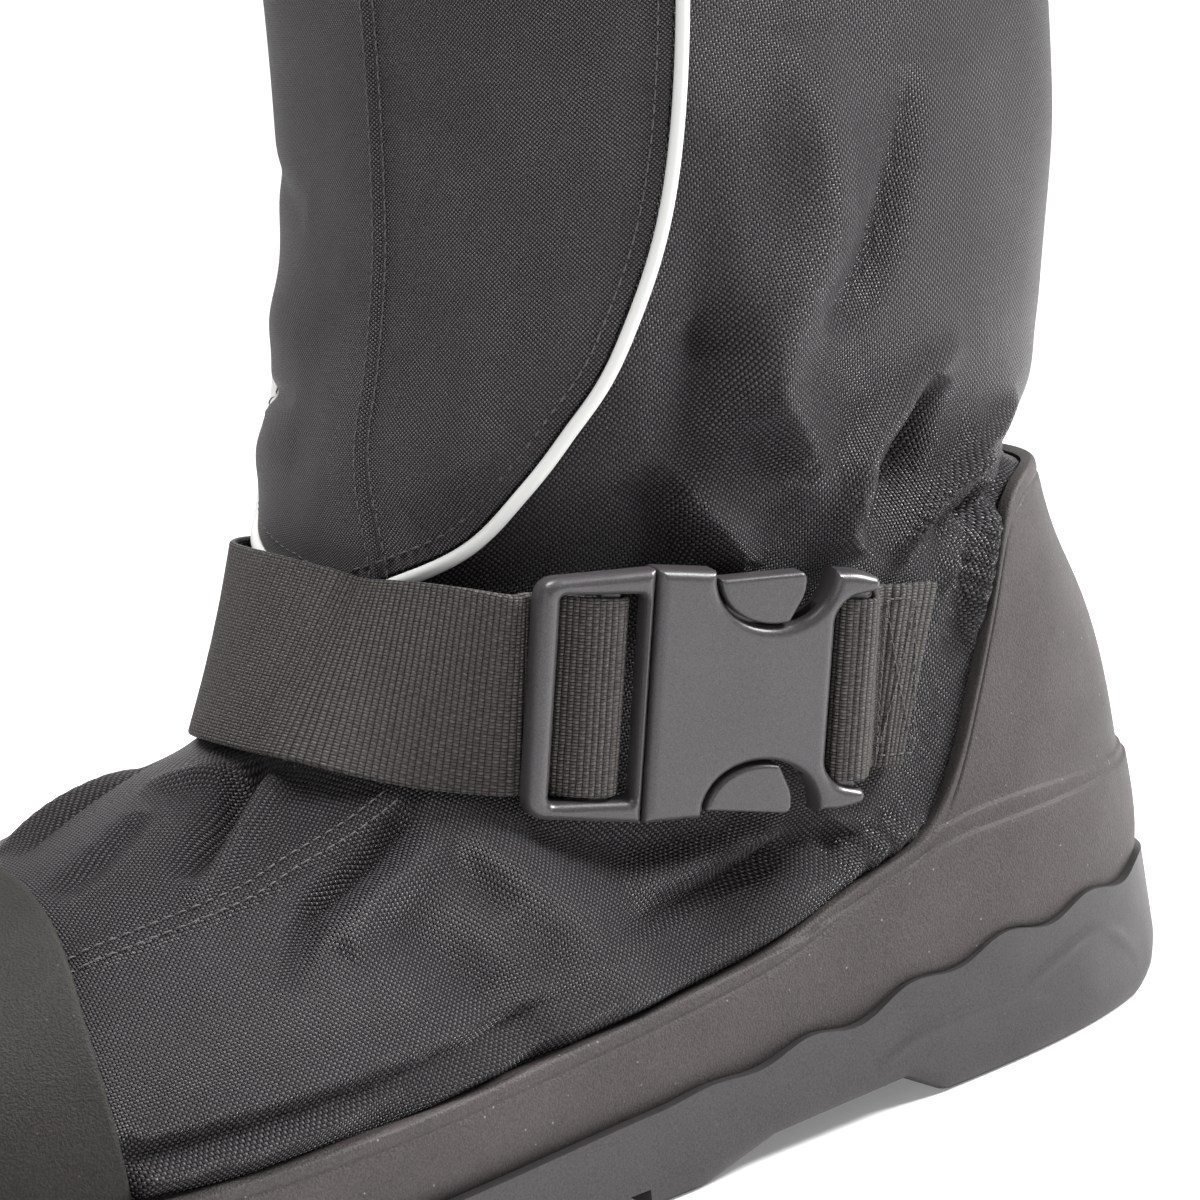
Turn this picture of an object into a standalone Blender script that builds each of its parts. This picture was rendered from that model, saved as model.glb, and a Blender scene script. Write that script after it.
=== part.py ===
"""Winter overshoe for the left foot: a woven nylon upper and shaft in a moulded sole cup.

Metres. The origin is on the floor under the middle of the heel, +X runs to the toe,
+Y to the outer side of the foot and +Z up the leg. The upper, the cup, the toe cap,
the flap and the strap all follow one form, lofted through the sections below.
"""
from math import cos, pi, sin

import bmesh
import bpy
import numpy as np
from mathutils import Matrix, Vector

# The form of the shoe
LENGTH = 0.336
BALL_WIDTH = 0.1215
INSTEP_HEIGHT = 0.102
COLLAR_HEIGHT = 0.299
SHAFT_WIDTH = 0.138
HEEL_REST = 0.0475

# Walls and clearances
GAP = 0.0003
WALL = 0.0018
HEM_STEP = 0.0008
HEM_HEIGHT = 0.024
FLAP_THICK = 0.0013
FLAP_GAP = 0.00042
PIPING_RADIUS = 0.00135
TOE_CAP_THICK = 0.0016
COUNTER_THICK = 0.0028
RAND_THICK = 0.0044
INSOLE_THICK = 0.0035

# The sole
SOLE_HEIGHT = 0.030
OUTSOLE_HEIGHT = 0.026
OUTSOLE_PROUD = 0.0009
OUTSOLE_EDGE = 0.003
HEEL_BEVEL = 0.010
ARCH_RISE = 0.0055
TOE_SPRING = 0.012
WAVE_DEPTH = 0.0013
WAVE_PITCH = 0.026
COUNTER_RISE = 0.0875
RAND_RISE = 0.0108
STEP_RISE = 0.0225
LUG_PITCH = 0.016
LUG_GROOVE = 0.0045
LUG_DEPTH = 0.004
LUG_SWEEP = 0.009

# The strap and its buckle
WEB_WIDTH = 0.038
WEB_THICK = 0.0015
STRAP_RISE = 0.0031
TAIL_LENGTH = 0.030
BUCKLE_LENGTH = 0.070
BUCKLE_WIDTH = 0.048
MALE_LENGTH = 0.0235
BODY_TOP = 0.0094
BODY_BOTTOM = 0.0022
FRAME_TOP = 0.0092
FRAME_BOTTOM = 0.0040
BAR_THICK = 0.0028
BAR_WIDTH = 0.0044
FRAME_BAR = 0.0045
MOUTH_BAR = 0.0019
BAR_SINK = 0.0013
MALE_BAR_BACK = 0.0083
FEMALE_BAR_BACK = 0.0036
HORN_LENGTH = 0.009
SCALLOP = 0.0108
EDGE_ROUND = 0.0011
FRAME_ROUND = 0.0013
BODY_WALL = 0.0014
SIDE_WALL = 0.0032

# Sections from the toe to the collar. Each is a closed oval in the plane through a
# front point, a back point and the Y direction. Columns: front and back along the
# shoe as shares of LENGTH, rise and fall in heights (1 is the instep, 2 the collar),
# width and swing to the outside as shares of the width, then how far up the widest
# place lies, and how square the lower and the upper half are.
FOOT_SECTIONS = [
    (1.000, 0.360, 1.000, 0.330, 0.030, -0.068, 0.40, 2.4, 2.2),
    (0.988, 0.465, 0.988, 0.202, 0.373, -0.068, 0.42, 2.6, 2.2),
    (0.951, 0.576, 0.951, 0.121, 0.678, -0.068, 0.38, 3.2, 2.3),
    (0.877, 0.677, 0.877, 0.071, 0.881, -0.051, 0.36, 3.8, 2.3),
    (0.785, 0.758, 0.785, 0.051, 0.983, -0.017, 0.36, 4.0, 2.2),
    (0.699, 0.838, 0.693, 0.051, 1.000, 0.008, 0.36, 4.0, 2.1),
    (0.629, 0.899, 0.589, 0.051, 0.983, 0.025, 0.38, 4.0, 2.1),
    (0.580, 0.939, 0.460, 0.051, 0.924, 0.038, 0.42, 3.8, 2.1),
    (0.552, 1.000, 0.276, 0.040, 0.864, 0.034, 0.46, 3.6, 2.2),
]
LEG_SECTIONS = [
    (0.537, 1.042, 0.098, 0.020, 0.746, 0.015, 0.48, 3.0, 2.3),
    (0.528, 1.079, 0.012, 0.202, 0.761, 0.000, 0.49, 2.5, 2.4),
    (0.518, 1.115, 0.000, 0.485, 0.776, 0.000, 0.50, 2.3, 2.5),
    (0.509, 1.152, 0.006, 0.788, 0.806, 0.000, 0.50, 2.2, 2.5),
    (0.497, 1.194, 0.025, 1.026, 0.836, 0.000, 0.50, 2.2, 2.5),
    (0.482, 1.241, 0.034, 1.099, 0.851, 0.000, 0.50, 2.2, 2.5),
    (0.466, 1.309, 0.006, 1.215, 0.896, 0.000, 0.50, 2.2, 2.5),
    (0.448, 1.455, -0.015, 1.403, 0.925, 0.000, 0.50, 2.2, 2.5),
    (0.433, 1.665, -0.028, 1.644, 0.955, 0.000, 0.50, 2.2, 2.5),
    (0.420, 2.000, -0.037, 2.000, 1.000, 0.000, 0.50, 2.2, 2.5),
]
COLLAR = len(FOOT_SECTIONS) + len(LEG_SECTIONS) - 1

# How many rings follow each section, how many points go around a ring, how many run along
# the wavy line ahead and behind, and how many rows the flap has
RINGS = (4, 3, 2, 2, 2, 2, 2, 2, 2, 2, 2, 1, 2, 2, 2, 2, 1, 1)
AROUND = 26
WAVE_POINTS = 38
FLAP_ROWS = 17
FLAP_COLUMNS = 14

# Sections that the moulding, the footbed and the toe cap end behind before they are cut
COUNTER_LAST = 14.5
INSOLE_FIRST = 0.45
INSOLE_LAST = 13.5
TOE_CAP_LAST = 6.2
HOLLOW_FIRST = 0.35

# Heights that lie clear under and over the whole shoe
BELOW = -0.05
ABOVE = COLLAR_HEIGHT + 0.08

# Lines along the side of the sole: along the shoe, then the share of the size named
FEATHER = [(0.00, 1.00), (0.25, 1.00), (0.46, 0.84), (0.62, 0.72), (0.76, 0.69), (0.90, 0.76), (1.00, 0.90)]
WAVE = [
    (0.00, 1.00), (0.08, 1.00), (0.20, 0.97), (0.30, 0.80), (0.46, 0.68),
    (0.62, 0.57), (0.80, 0.54), (0.93, 0.64), (1.00, 0.74),
]
TREAD = [  # along, heel bevel, arch, toe spring
    (-0.05, 1.0, 0, 0), (0.00, 0.80, 0, 0), (0.03, 0.24, 0, 0), (0.055, 0, 0, 0), (0.235, 0, 0, 0),
    (0.26, 0, 1, 0), (0.36, 0, 0.82, 0), (0.415, 0, 0, 0), (0.75, 0, 0, 0), (0.82, 0, 0, 0.10),
    (0.88, 0, 0, 0.30), (0.94, 0, 0, 0.60), (1.00, 0, 0, 1.0), (1.05, 0, 0, 1.25),
]
# The moulding's top edge over the feather: along, share of the counter, share of the rand
TOP_EDGE = [
    (-0.060, 1.00, 0), (0.040, 1.00, 0), (0.080, 0.985, 0), (0.105, 0.945, 0), (0.125, 0.865, 0),
    (0.146, 0.700, 0), (0.165, 0.540, 0), (0.185, 0.385, 0), (0.205, 0.280, 0), (0.230, 0.205, 0.10),
    (0.280, 0.085, 0.75), (0.350, 0, 1.00), (0.500, 0, 0.95), (0.650, 0, 1.00), (0.800, 0, 1.15),
    (0.900, 0, 1.30), (1.000, 0, 1.55), (1.060, 0, 1.60),
]
# The ledge where the counter thickens to the rand: along, share of STEP_RISE
STEP_EDGE = [(-0.06, 0.82), (0.05, 0.86), (0.15, 0.98), (0.21, 0.92), (0.30, 0.62), (0.40, 0.55), (1.06, 0.55)]
# The toe cap's rear edge, from the ridge down: along, height as a share of the instep
TOE_EDGE = [(0.712, 1.05), (0.722, 0.84), (0.728, 0.77), (0.739, 0.67), (0.745, 0.60), (0.750, 0.45), (0.752, 0.10)]
# The outsole's side from the tread up: how far it stands back and how far it is lifted, as
# shares of OUTSOLE_EDGE, and the share of the way up to the feather
OUTSOLE_SIDE = [(1.00, 0, 0), (0, 1.00, 0), (0.15, 0, 0.45), (0, 0, 0.52), (0, 0, 0.97)]

# The flap's edge: section, half width in turns. It is centred on its stitched seam.
FLAP_CENTRE = 0.465
FLAP_EDGE = [
    (10.75, 0.020), (11.15, 0.046), (12.0, 0.082), (13.0, 0.101),
    (14.0, 0.115), (15.0, 0.129), (16.0, 0.148), (18.0, 0.160),
]

# The strap from the inner side over the instep to the buckle: turn, the sections under its
# lower and its upper edge, and the shares of STRAP_RISE that they stand over their seats
STRAP_LINE = [
    (0.778, 10.15, 12.00, 0.00, 0.00), (0.757, 10.05, 11.98, 0.05, 0.05), (0.735, 9.85, 11.92, 0.15, 0.15),
    (0.710, 9.50, 11.85, 0.30, 0.30), (0.680, 9.00, 11.70, 0.50, 0.45), (0.650, 8.40, 11.50, 0.75, 0.60),
    (0.614, 7.70, 11.30, 1.00, 0.90), (0.580, 7.05, 11.15, 1.10, 1.10), (0.540, 6.85, 11.20, 0.90, 1.10),
    (0.500, 6.75, 11.30, 0.80, 1.20), (0.460, 6.85, 11.20, 0.90, 1.10), (0.420, 7.05, 11.15, 1.20, 1.10),
]
# The form's section and turn under the buckle, its slopes from the strap's line and to the
# leg, and how far it sinks into the cloth under its highest place
BUCKLE_SEAT = (10.38, 0.297)
BUCKLE_DROP = -0.02
BUCKLE_TUCK = 0.02
SEAT_SINK = 0.0025
# How far the cut ends of the webbing slant, and where the short strap's sewn end lies
STRAP_SLANT = 0.20
SEWN_START = 0.0045
SEWN_LENGTH = 0.0105
# Where a scallop starts, as a share of the buckle's length from its middle
SCALLOP_START = 0.05
# A sprung arm: shares of the buckle's length from its middle, and of its width out of the side wall
ARM = [
    (0.043, -0.108), (0.236, -0.156), (0.279, -0.125), (0.286, -0.042), (0.264, 0.025),
    (0.214, 0.050), (0.129, 0.042), (0.074, -0.008), (0.043, -0.025),
]

# Colour, roughness and metallic of each material
FINISHES = {
    "nylon": ((0.035, 0.034, 0.038), 0.75, 0.0),
    "fine_nylon": ((0.040, 0.039, 0.041), 0.80, 0.0),
    "webbing": ((0.045, 0.042, 0.038), 0.85, 0.0),
    "buckle_plastic": ((0.16, 0.155, 0.16), 0.38, 0.0),
    "moulding": ((0.115, 0.105, 0.10), 0.70, 0.0),
    "tread": ((0.085, 0.080, 0.078), 0.65, 0.0),
    "piping": ((0.62, 0.63, 0.61), 0.45, 0.0),
    "footbed": ((0.05, 0.05, 0.055), 0.90, 0.0),
}


def new_collection(name):
    collection = bpy.data.collections.new(name)
    bpy.context.scene.collection.children.link(collection)
    return collection


for old in list(bpy.data.objects):
    bpy.data.objects.remove(old)
PARTS = new_collection("winter_overshoe")
CUTTERS = new_collection("cutters")


def finish(name):
    """One Principled material from the table of finishes."""
    if name in bpy.data.materials:
        return bpy.data.materials[name]
    colour, roughness, metallic = FINISHES[name]
    material = bpy.data.materials.new(name)
    material.use_nodes = True
    shader = material.node_tree.nodes["Principled BSDF"]
    shader.inputs["Base Color"].default_value = (*colour, 1)
    shader.inputs["Roughness"].default_value = roughness
    shader.inputs["Metallic"].default_value = metallic
    return material


def add_object(name, bm, material=None):
    """Turns a bmesh into a part, or into a cutter when no material is given."""
    bmesh.ops.recalc_face_normals(bm, faces=bm.faces)
    mesh = bpy.data.meshes.new(name)
    bm.to_mesh(mesh)
    bm.free()
    item = bpy.data.objects.new(name, mesh)
    if material:
        mesh.materials.append(finish(material))
        mesh.shade_smooth()
        mesh.set_sharp_from_angle(angle=pi / 5)
        PARTS.objects.link(item)
    else:
        item.hide_render = True
        item.display_type = "WIRE"
        CUTTERS.objects.link(item)
    return item


def combine(item, other, operation):
    modifier = item.modifiers.new(operation.lower(), "BOOLEAN")
    modifier.object = other
    modifier.operation = operation
    modifier.solver = "EXACT"


def spline(rows, place):
    """A smooth curve through the rows of a table, by row number."""
    rows = np.asarray(rows, float)
    place = np.clip(np.asarray(place, float), 0, len(rows) - 1)
    row = np.minimum(place.astype(int), len(rows) - 2)
    part = (place - row)[..., None]
    before, start = rows[np.maximum(row - 1, 0)], rows[row]
    end, after = rows[row + 1], rows[np.minimum(row + 2, len(rows) - 1)]
    return (start * (2 * part**3 - 3 * part**2 + 1) + end * (3 * part**2 - 2 * part**3)
            + (end - before) / 2 * (part**3 - 2 * part**2 + part) + (after - start) / 2 * (part**3 - part**2))


def section_table():
    """The sections in metres, with heights and widths taken from the named sizes."""
    rows = []
    for table, width in ((FOOT_SECTIONS, BALL_WIDTH), (LEG_SECTIONS, SHAFT_WIDTH)):
        for front, rise, back, fall, wide, swing, *shape in table:
            heights = np.interp([rise, fall], [0, 1, 2], [0, INSTEP_HEIGHT, COLLAR_HEIGHT])
            rows.append([front * LENGTH - HEEL_REST, heights[0], back * LENGTH - HEEL_REST, heights[1],
                         wide * width / 2, swing * width, *shape])
    return np.array(rows)


SECTIONS = section_table()


def form(station, turn):
    """The outer form. A turn runs from the back of a section by the outer side to its front."""
    station, turn = np.broadcast_arrays(np.asarray(station, float), np.asarray(turn, float))
    front, rise, back, fall, half, swing, belly, low_square, top_square = np.moveaxis(spline(SECTIONS, station), -1, 0)
    lift, side = np.cos(2 * pi * turn), np.sin(2 * pi * turn)
    square = np.where(lift > 0, low_square, top_square)
    bow = np.abs(lift) ** (2 / square)
    height = np.where(lift > 0, belly - belly * bow, belly + (1 - belly) * bow)
    across = swing + half * np.sign(side) * np.abs(side) ** (2 / square)
    return np.stack([back + (front - back) * height, across, fall + (rise - fall) * height], -1)


def unit(vectors):
    return vectors / np.linalg.norm(vectors, axis=-1, keepdims=True)


def outward(station, turn):
    """The form's normal, pointing out of the shoe."""
    step = 0.01
    low, high = np.maximum(np.asarray(station, float) - step, 0), np.minimum(np.asarray(station, float) + step, COLLAR)
    along = form(high, turn) - form(low, turn)
    around = form(station, np.asarray(turn) + step) - form(station, np.asarray(turn) - step)
    return unit(np.cross(along, around))


def stations():
    """Section places of all rings from the toe to the collar, with the hem's edge among them."""
    rings = [row + k / count for row, count in enumerate(RINGS) for k in range(count)]
    return np.array(sorted(rings + [HEM_START, HEM_START + HEM_EDGE, COLLAR]))


def loft(bm, rings):
    """Skins rings of points and closes both ends."""
    verts = skin(bm, rings)
    bm.faces.new(verts[0])
    bm.faces.new(verts[-1])


def skin(bm, rings):
    """Faces between rings of points, open at both ends."""
    verts = [[bm.verts.new(point) for point in ring] for ring in rings]
    count = len(verts[0])
    for near, far in zip(verts, verts[1:]):
        for k in range(count):
            bm.faces.new((near[k], near[(k + 1) % count], far[(k + 1) % count], far[k]))
    return verts


def prism(bm, outline, shift):
    """A closed block: a flat outline pushed along a vector."""
    face = bm.faces.new([bm.verts.new(point) for point in outline])
    moved = bmesh.ops.extrude_face_region(bm, geom=[face])["geom"]
    bmesh.ops.translate(bm, vec=shift, verts=[v for v in moved if isinstance(v, bmesh.types.BMVert)])


def offset_form(name, distance, first=0, last=COLLAR, above=0, material=None):
    """The closed form between two sections, moved outward by a distance or a function of the section."""
    places = stations()
    places = np.concatenate([[first], places[(places > first + 0.05) & (places < last - 0.05)], [last]])
    turns = np.arange(AROUND) / AROUND
    rings = []
    for place in places:
        shift = distance(place) if callable(distance) else distance
        rings.append(form(place, turns) + outward(place, turns) * shift)
    if above:
        rings.append(rings[-1] + [0, 0, above])
    bm = bmesh.new()
    loft(bm, rings)
    return add_object(name, bm, material)


def along_side(heel_count=22, fore_count=16):
    """Places along the shoe for the lines of its side, closer together at the heel."""
    start, middle, end = -0.07 * LENGTH, 0.36 * LENGTH, 1.08 * LENGTH
    return np.concatenate([np.linspace(start, middle, heel_count), np.linspace(middle, end, fore_count)[1:]])


def side_line(table, along, column=1):
    """A column of a side line, smooth along the shoe. Along is measured from the heel's back."""
    rows = np.array([row[:1] + (row[column],) for row in table], float)
    fine = spline(rows, np.linspace(0, len(rows) - 1, 12 * len(rows)))
    return np.interp(along / LENGTH, fine[:, 0], fine[:, 1])


def feather(along):
    """The midsole's floor, which the upper stands on."""
    return SOLE_HEIGHT * side_line(FEATHER, along)


def wave_line(along):
    """The wavy line where the cup meets the outsole. The waves fade out ahead of the heel."""
    fade = np.interp(along / LENGTH, [0.0, 0.05, 0.32, 0.45], [0.4, 1, 1, 0])
    return OUTSOLE_HEIGHT * side_line(WAVE, along) + WAVE_DEPTH * fade * np.sin(2 * pi * along / WAVE_PITCH)


def tread_line(along):
    """The underside, flat at the heel and the forefoot."""
    places, bevel, arch, spring = np.array(TREAD).T
    rise = bevel * HEEL_BEVEL + arch * ARCH_RISE + spring * TOE_SPRING
    return np.interp(along / LENGTH, places, rise)


def top_edge(along):
    counter, rand = side_line(TOP_EDGE, along, 1), side_line(TOP_EDGE, along, 2)
    return feather(along) + np.maximum(COUNTER_RISE * counter + RAND_RISE * rand, RAND_RISE * 0.8)


def step_edge(along):
    return feather(along) + STEP_RISE * side_line(STEP_EDGE, along)


def side_cutter(name, along, heights, far):
    """A block across the whole width, from a line in the side view to a far height."""
    outline = list(zip(along, heights)) + [(along[-1], far), (along[0], far)]
    bm = bmesh.new()
    prism(bm, [(x - HEEL_REST, -BALL_WIDTH, z) for x, z in outline], (0, 2 * BALL_WIDTH, 0))
    return add_object(name, bm)


# The section where the hem starts, and how much of a section its edge takes
HEM_START = COLLAR - HEM_HEIGHT / (SECTIONS[-1][1] - SECTIONS[-2][1])
HEM_EDGE = 0.04


def make_upper():
    """Vamp and shaft in one hollow wall, with the hem as a step at the collar."""
    def thickness(place):
        return HEM_STEP * np.clip((place - HEM_START) / HEM_EDGE, 0, 1)

    upper = offset_form("upper", thickness, material="nylon")
    hollow = offset_form("upper_hollow", -WALL, first=HOLLOW_FIRST, above=HEM_HEIGHT)
    along = along_side()
    under = side_cutter("under_upper", along, feather(along) + GAP, BELOW)
    combine(upper, under, "DIFFERENCE")
    combine(upper, hollow, "DIFFERENCE")
    return upper


def make_cup():
    """Midsole, rand and heel counter in one moulding, with a ledge where it thickens."""
    along = along_side()
    cup = offset_form("midsole_cup", GAP + COUNTER_THICK, last=COUNTER_LAST, material="moulding")
    combine(cup, side_cutter("over_counter", along, top_edge(along), ABOVE), "DIFFERENCE")
    rand = offset_form("rand_form", GAP + RAND_THICK, last=COUNTER_LAST - 0.3)
    rand_top = np.minimum(step_edge(along), top_edge(along) - GAP)
    combine(rand, side_cutter("over_rand", along, rand_top, ABOVE), "DIFFERENCE")
    combine(cup, rand, "UNION")
    space = offset_form("cup_space", GAP, last=COUNTER_LAST + 0.7)
    combine(space, side_cutter("under_space", along, feather(along), BELOW), "DIFFERENCE")
    combine(cup, space, "DIFFERENCE")
    waves = along_side(WAVE_POINTS)
    combine(cup, side_cutter("under_cup", waves, wave_line(waves), BELOW), "DIFFERENCE")
    return cup


def make_insole():
    """A loose flat footbed inside the upper."""
    along = along_side()
    insole = offset_form("insole", -(WALL + GAP + GAP), INSOLE_FIRST, INSOLE_LAST, material="footbed")
    combine(insole, side_cutter("under_insole", along, feather(along) + GAP, BELOW), "DIFFERENCE")
    combine(insole, side_cutter("over_insole", along, feather(along) + GAP + INSOLE_THICK, ABOVE), "DIFFERENCE")
    return insole


def make_toe_cap():
    """A moulded overlay on the toe, down to the rand."""
    cap = offset_form("toe_cap", GAP + TOE_CAP_THICK, last=TOE_CAP_LAST, material="moulding")
    combine(cap, offset_form("toe_cap_space", GAP, last=TOE_CAP_LAST + 0.5), "DIFFERENCE")
    along = along_side()
    combine(cap, side_cutter("under_toe_cap", along, top_edge(along) + GAP, BELOW), "DIFFERENCE")
    edge = spline(TOE_EDGE, np.linspace(0, len(TOE_EDGE) - 1, 16))
    behind = LENGTH / 3
    outline = [(x * LENGTH, z * INSTEP_HEIGHT) for x, z in edge]
    outline += [(behind, outline[-1][1]), (behind, outline[0][1])]
    bm = bmesh.new()
    prism(bm, [(x - HEEL_REST, -BALL_WIDTH, z) for x, z in outline], (0, 2 * BALL_WIDTH, 0))
    combine(cap, add_object("behind_toe_cap", bm), "DIFFERENCE")
    return cap


def sole_outline(count=38):
    """The outer side of the form at the feather, from the toe tip to the heel's back."""
    fine = np.linspace(0.02, 12, 1200)
    backs = form(fine, 0.0)
    under = backs[:, 2] < feather(backs[:, 0] + HEEL_REST)
    first, last = fine[under][0], fine[under][-1]
    places = first + (last - first) * (1 - np.cos(np.linspace(0, pi, count))) / 2
    low, high = np.zeros(count), np.full(count, 0.45)
    for _ in range(30):
        middle = (low + high) / 2
        points = form(places, middle)
        below = points[:, 2] < feather(points[:, 0] + HEEL_REST)
        low, high = np.where(below, middle, low), np.where(below, high, middle)
    return form(places, low), form(places, 1 - low)


def make_outsole():
    """The tread: heel, arch, toe spring and cross-cut lugs under a proud edge."""
    outer, inner = sole_outline()
    plan = np.concatenate([outer, inner[-2:0:-1]])[:, :2]
    tangent = np.roll(plan, -1, axis=0) - np.roll(plan, 1, axis=0)
    normal = unit(np.stack([-tangent[:, 1], tangent[:, 0]], -1))
    if (normal[:, 0] * plan[:, 0]).sum() < 0:
        normal = -normal
    proud = GAP + RAND_THICK + OUTSOLE_PROUD
    rings = []
    for back, lift, up in OUTSOLE_SIDE:
        spread = plan + normal * (proud - back * OUTSOLE_EDGE)
        along = spread[:, 0] + HEEL_REST
        bottom = tread_line(along) + lift * OUTSOLE_EDGE
        rings.append(np.column_stack([spread, bottom + (feather(along) - bottom) * up]))
    bm = bmesh.new()
    verts = skin(bm, rings)
    count = len(plan)
    # Strips across the sole, so that its ends stay flat quads
    for ring in (verts[0], verts[-1]):
        far = count - 1
        bm.faces.new((ring[0], ring[1], ring[far]))
        for k in range(1, count // 2 - 1):
            bm.faces.new((ring[k], ring[k + 1], ring[far - k], ring[far - k + 1]))
        middle = count // 2
        bm.faces.new((ring[middle - 1], ring[middle], ring[middle + 1]))
    outsole = add_object("outsole", bm, "tread")
    waves = along_side(WAVE_POINTS)
    combine(outsole, side_cutter("over_outsole", waves, wave_line(waves) - GAP, ABOVE), "DIFFERENCE")
    combine(outsole, lug_grooves(), "DIFFERENCE")
    return outsole


def lug_grooves():
    """Grooves across the tread: straight under the heel, swept to the toe under the forefoot."""
    bm = bmesh.new()
    heel = [(k + 0.5) * LUG_PITCH for k in (-2, -1, 0, 1)]
    forefoot = np.arange(0.44 * LENGTH - HEEL_REST, 0.90 * LENGTH - HEEL_REST, LUG_PITCH)
    reach = 0.75 * BALL_WIDTH
    for place, sweep in [(x, 0) for x in heel] + [(x, LUG_SWEEP) for x in forefoot]:
        top = tread_line(place + HEEL_REST) + LUG_DEPTH
        half = LUG_GROOVE / 2
        line = [(place + sweep, -reach), (place, 0), (place + sweep, reach)]
        outline = [(x - half, y) for x, y in line] + [(x + half, y) for x, y in reversed(line)]
        prism(bm, [(x, y, BELOW) for x, y in outline], (0, 0, top - BELOW))
    return add_object("lug_grooves", bm)


def flap_edge():
    """Section and half width in turns along the flap, up to just under the hem."""
    rows = np.array(FLAP_EDGE)
    rows[-1, 0] = HEM_START - HEM_EDGE
    return spline(rows, np.linspace(0, len(rows) - 1, FLAP_ROWS))


def flap_grid():
    """Sections and turns over the flap, from its foot up to the hem."""
    places = flap_edge()
    across = np.linspace(-1, 1, FLAP_COLUMNS)
    return places[:, :1] + 0 * across, FLAP_CENTRE + places[:, 1:] * across


def make_flap():
    """A sheet of finer cloth sewn over the front of the shaft."""
    place, turn = flap_grid()
    base, normal = form(place, turn), outward(place, turn)
    inside, outside = base + normal * FLAP_GAP, base + normal * (FLAP_GAP + FLAP_THICK)
    bm = bmesh.new()
    rings = [np.concatenate([low, high[::-1]]) for low, high in zip(inside, outside)]
    loft(bm, rings)
    return add_object("front_flap", bm, "fine_nylon")


def make_piping():
    """Round piping around the flap's edge, from the hem down, across and up again."""
    places = flap_edge()[::-1]
    station = np.concatenate([places[:, 0], [places[-1, 0]] * 2, places[::-1, 0]])
    half = np.concatenate([-places[:, 1], [-places[-1, 1] / 3, places[-1, 1] / 3], places[::-1, 1]])
    edge, normal = form(station, FLAP_CENTRE + half), outward(station, FLAP_CENTRE + half)
    tangent = unit(np.gradient(edge, axis=0))
    aside = unit(np.cross(tangent, normal))
    middle = form(12.0, FLAP_CENTRE)
    if ((edge[0] - middle) * aside[0]).sum() < 0:
        aside = -aside
    centre = edge + aside * (2 * GAP + PIPING_RADIUS) + normal * (GAP + PIPING_RADIUS)
    curve = bpy.data.curves.new("flap_piping", "CURVE")
    curve.dimensions = "3D"
    curve.bevel_depth = PIPING_RADIUS
    curve.bevel_resolution = 2
    curve.use_fill_caps = True
    line = curve.splines.new("POLY")
    line.points.add(len(centre) - 1)
    for point, place in zip(line.points, centre):
        point.co = (*place, 1)
    curve.materials.append(finish("piping"))
    item = bpy.data.objects.new("flap_piping", curve)
    PARTS.objects.link(item)
    return item


def strap_edges():
    """The strap's lower and upper edges over the form, in the middle of its thickness."""
    turn, low, top, low_rise, top_rise = np.array(STRAP_LINE).T
    edges = []
    for station, rise in ((low, low_rise), (top, top_rise)):
        seat = GAP + WEB_THICK / 2 + STRAP_RISE * rise
        edges.append(form(station, turn) + outward(station, turn) * seat[:, None])
    return edges


def place_under(axes, origin, along, across):
    """Section and turn of the form's point at a place along and across the buckle."""
    place = np.array(BUCKLE_SEAT)
    for _ in range(25):
        error = (form(*place) - origin) @ axes - [along, across]
        slopes = [(form(*(place + step)) - form(*place)) @ axes / np.sum(step) for step in np.diag([0.01, 0.001])]
        place = place - np.linalg.solve(np.array(slopes).T, error) * 0.8
    return place


def buckle_frame():
    """Where the buckle lies: its seat, the way along the strap to the heel, across, and out.

    It lies on the plane that best fits the form under it, raised until the form is clear.
    """
    origin, out = form(*BUCKLE_SEAT), outward(*BUCKLE_SEAT)
    ahead = form((STRAP_LINE[-1][1] + STRAP_LINE[-1][2]) / 2, STRAP_LINE[-1][0])
    for _ in range(4):
        along = origin - ahead
        along = unit(along - out * (along @ out) - np.array([0, 0, 1]) * BUCKLE_DROP * np.linalg.norm(along))
        along = unit(along - out * (along @ out))
        across = np.cross(out, along)
        across = across * np.sign(across[2])
        axes = np.column_stack([along, across])
        spots = [(u, w) for u in np.linspace(-0.48, 0.48, 5) * BUCKLE_LENGTH for w in np.linspace(-0.5, 0.5, 5) * BUCKLE_WIDTH]
        heights = np.array([(form(*place_under(axes, origin, u, w)) - origin) @ out for u, w in spots])
        fit = np.linalg.lstsq(np.column_stack([np.ones(len(spots)), np.array(spots)]), heights, rcond=None)[0]
        out = unit(out - fit[1] * along - fit[2] * across)
    along = unit(along - out * (along @ out))
    across = unit(across - out * (across @ out) - along * (across @ along))
    out, across = out * cos(BUCKLE_TUCK) - across * sin(BUCKLE_TUCK), across * cos(BUCKLE_TUCK) + out * sin(BUCKLE_TUCK)
    heights = [(form(*place_under(np.column_stack([along, across]), origin, u, w)) - origin) @ out for u, w in spots]
    return origin + out * (max(heights) - SEAT_SINK), along, across, out


SEAT, ALONG, ACROSS, OUT = buckle_frame()


def in_buckle(places):
    """World points from places along the buckle and out of it."""
    places = np.asarray(places, float)
    return SEAT + places[:, :1] * ALONG + places[:, 1:] * OUT


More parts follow.
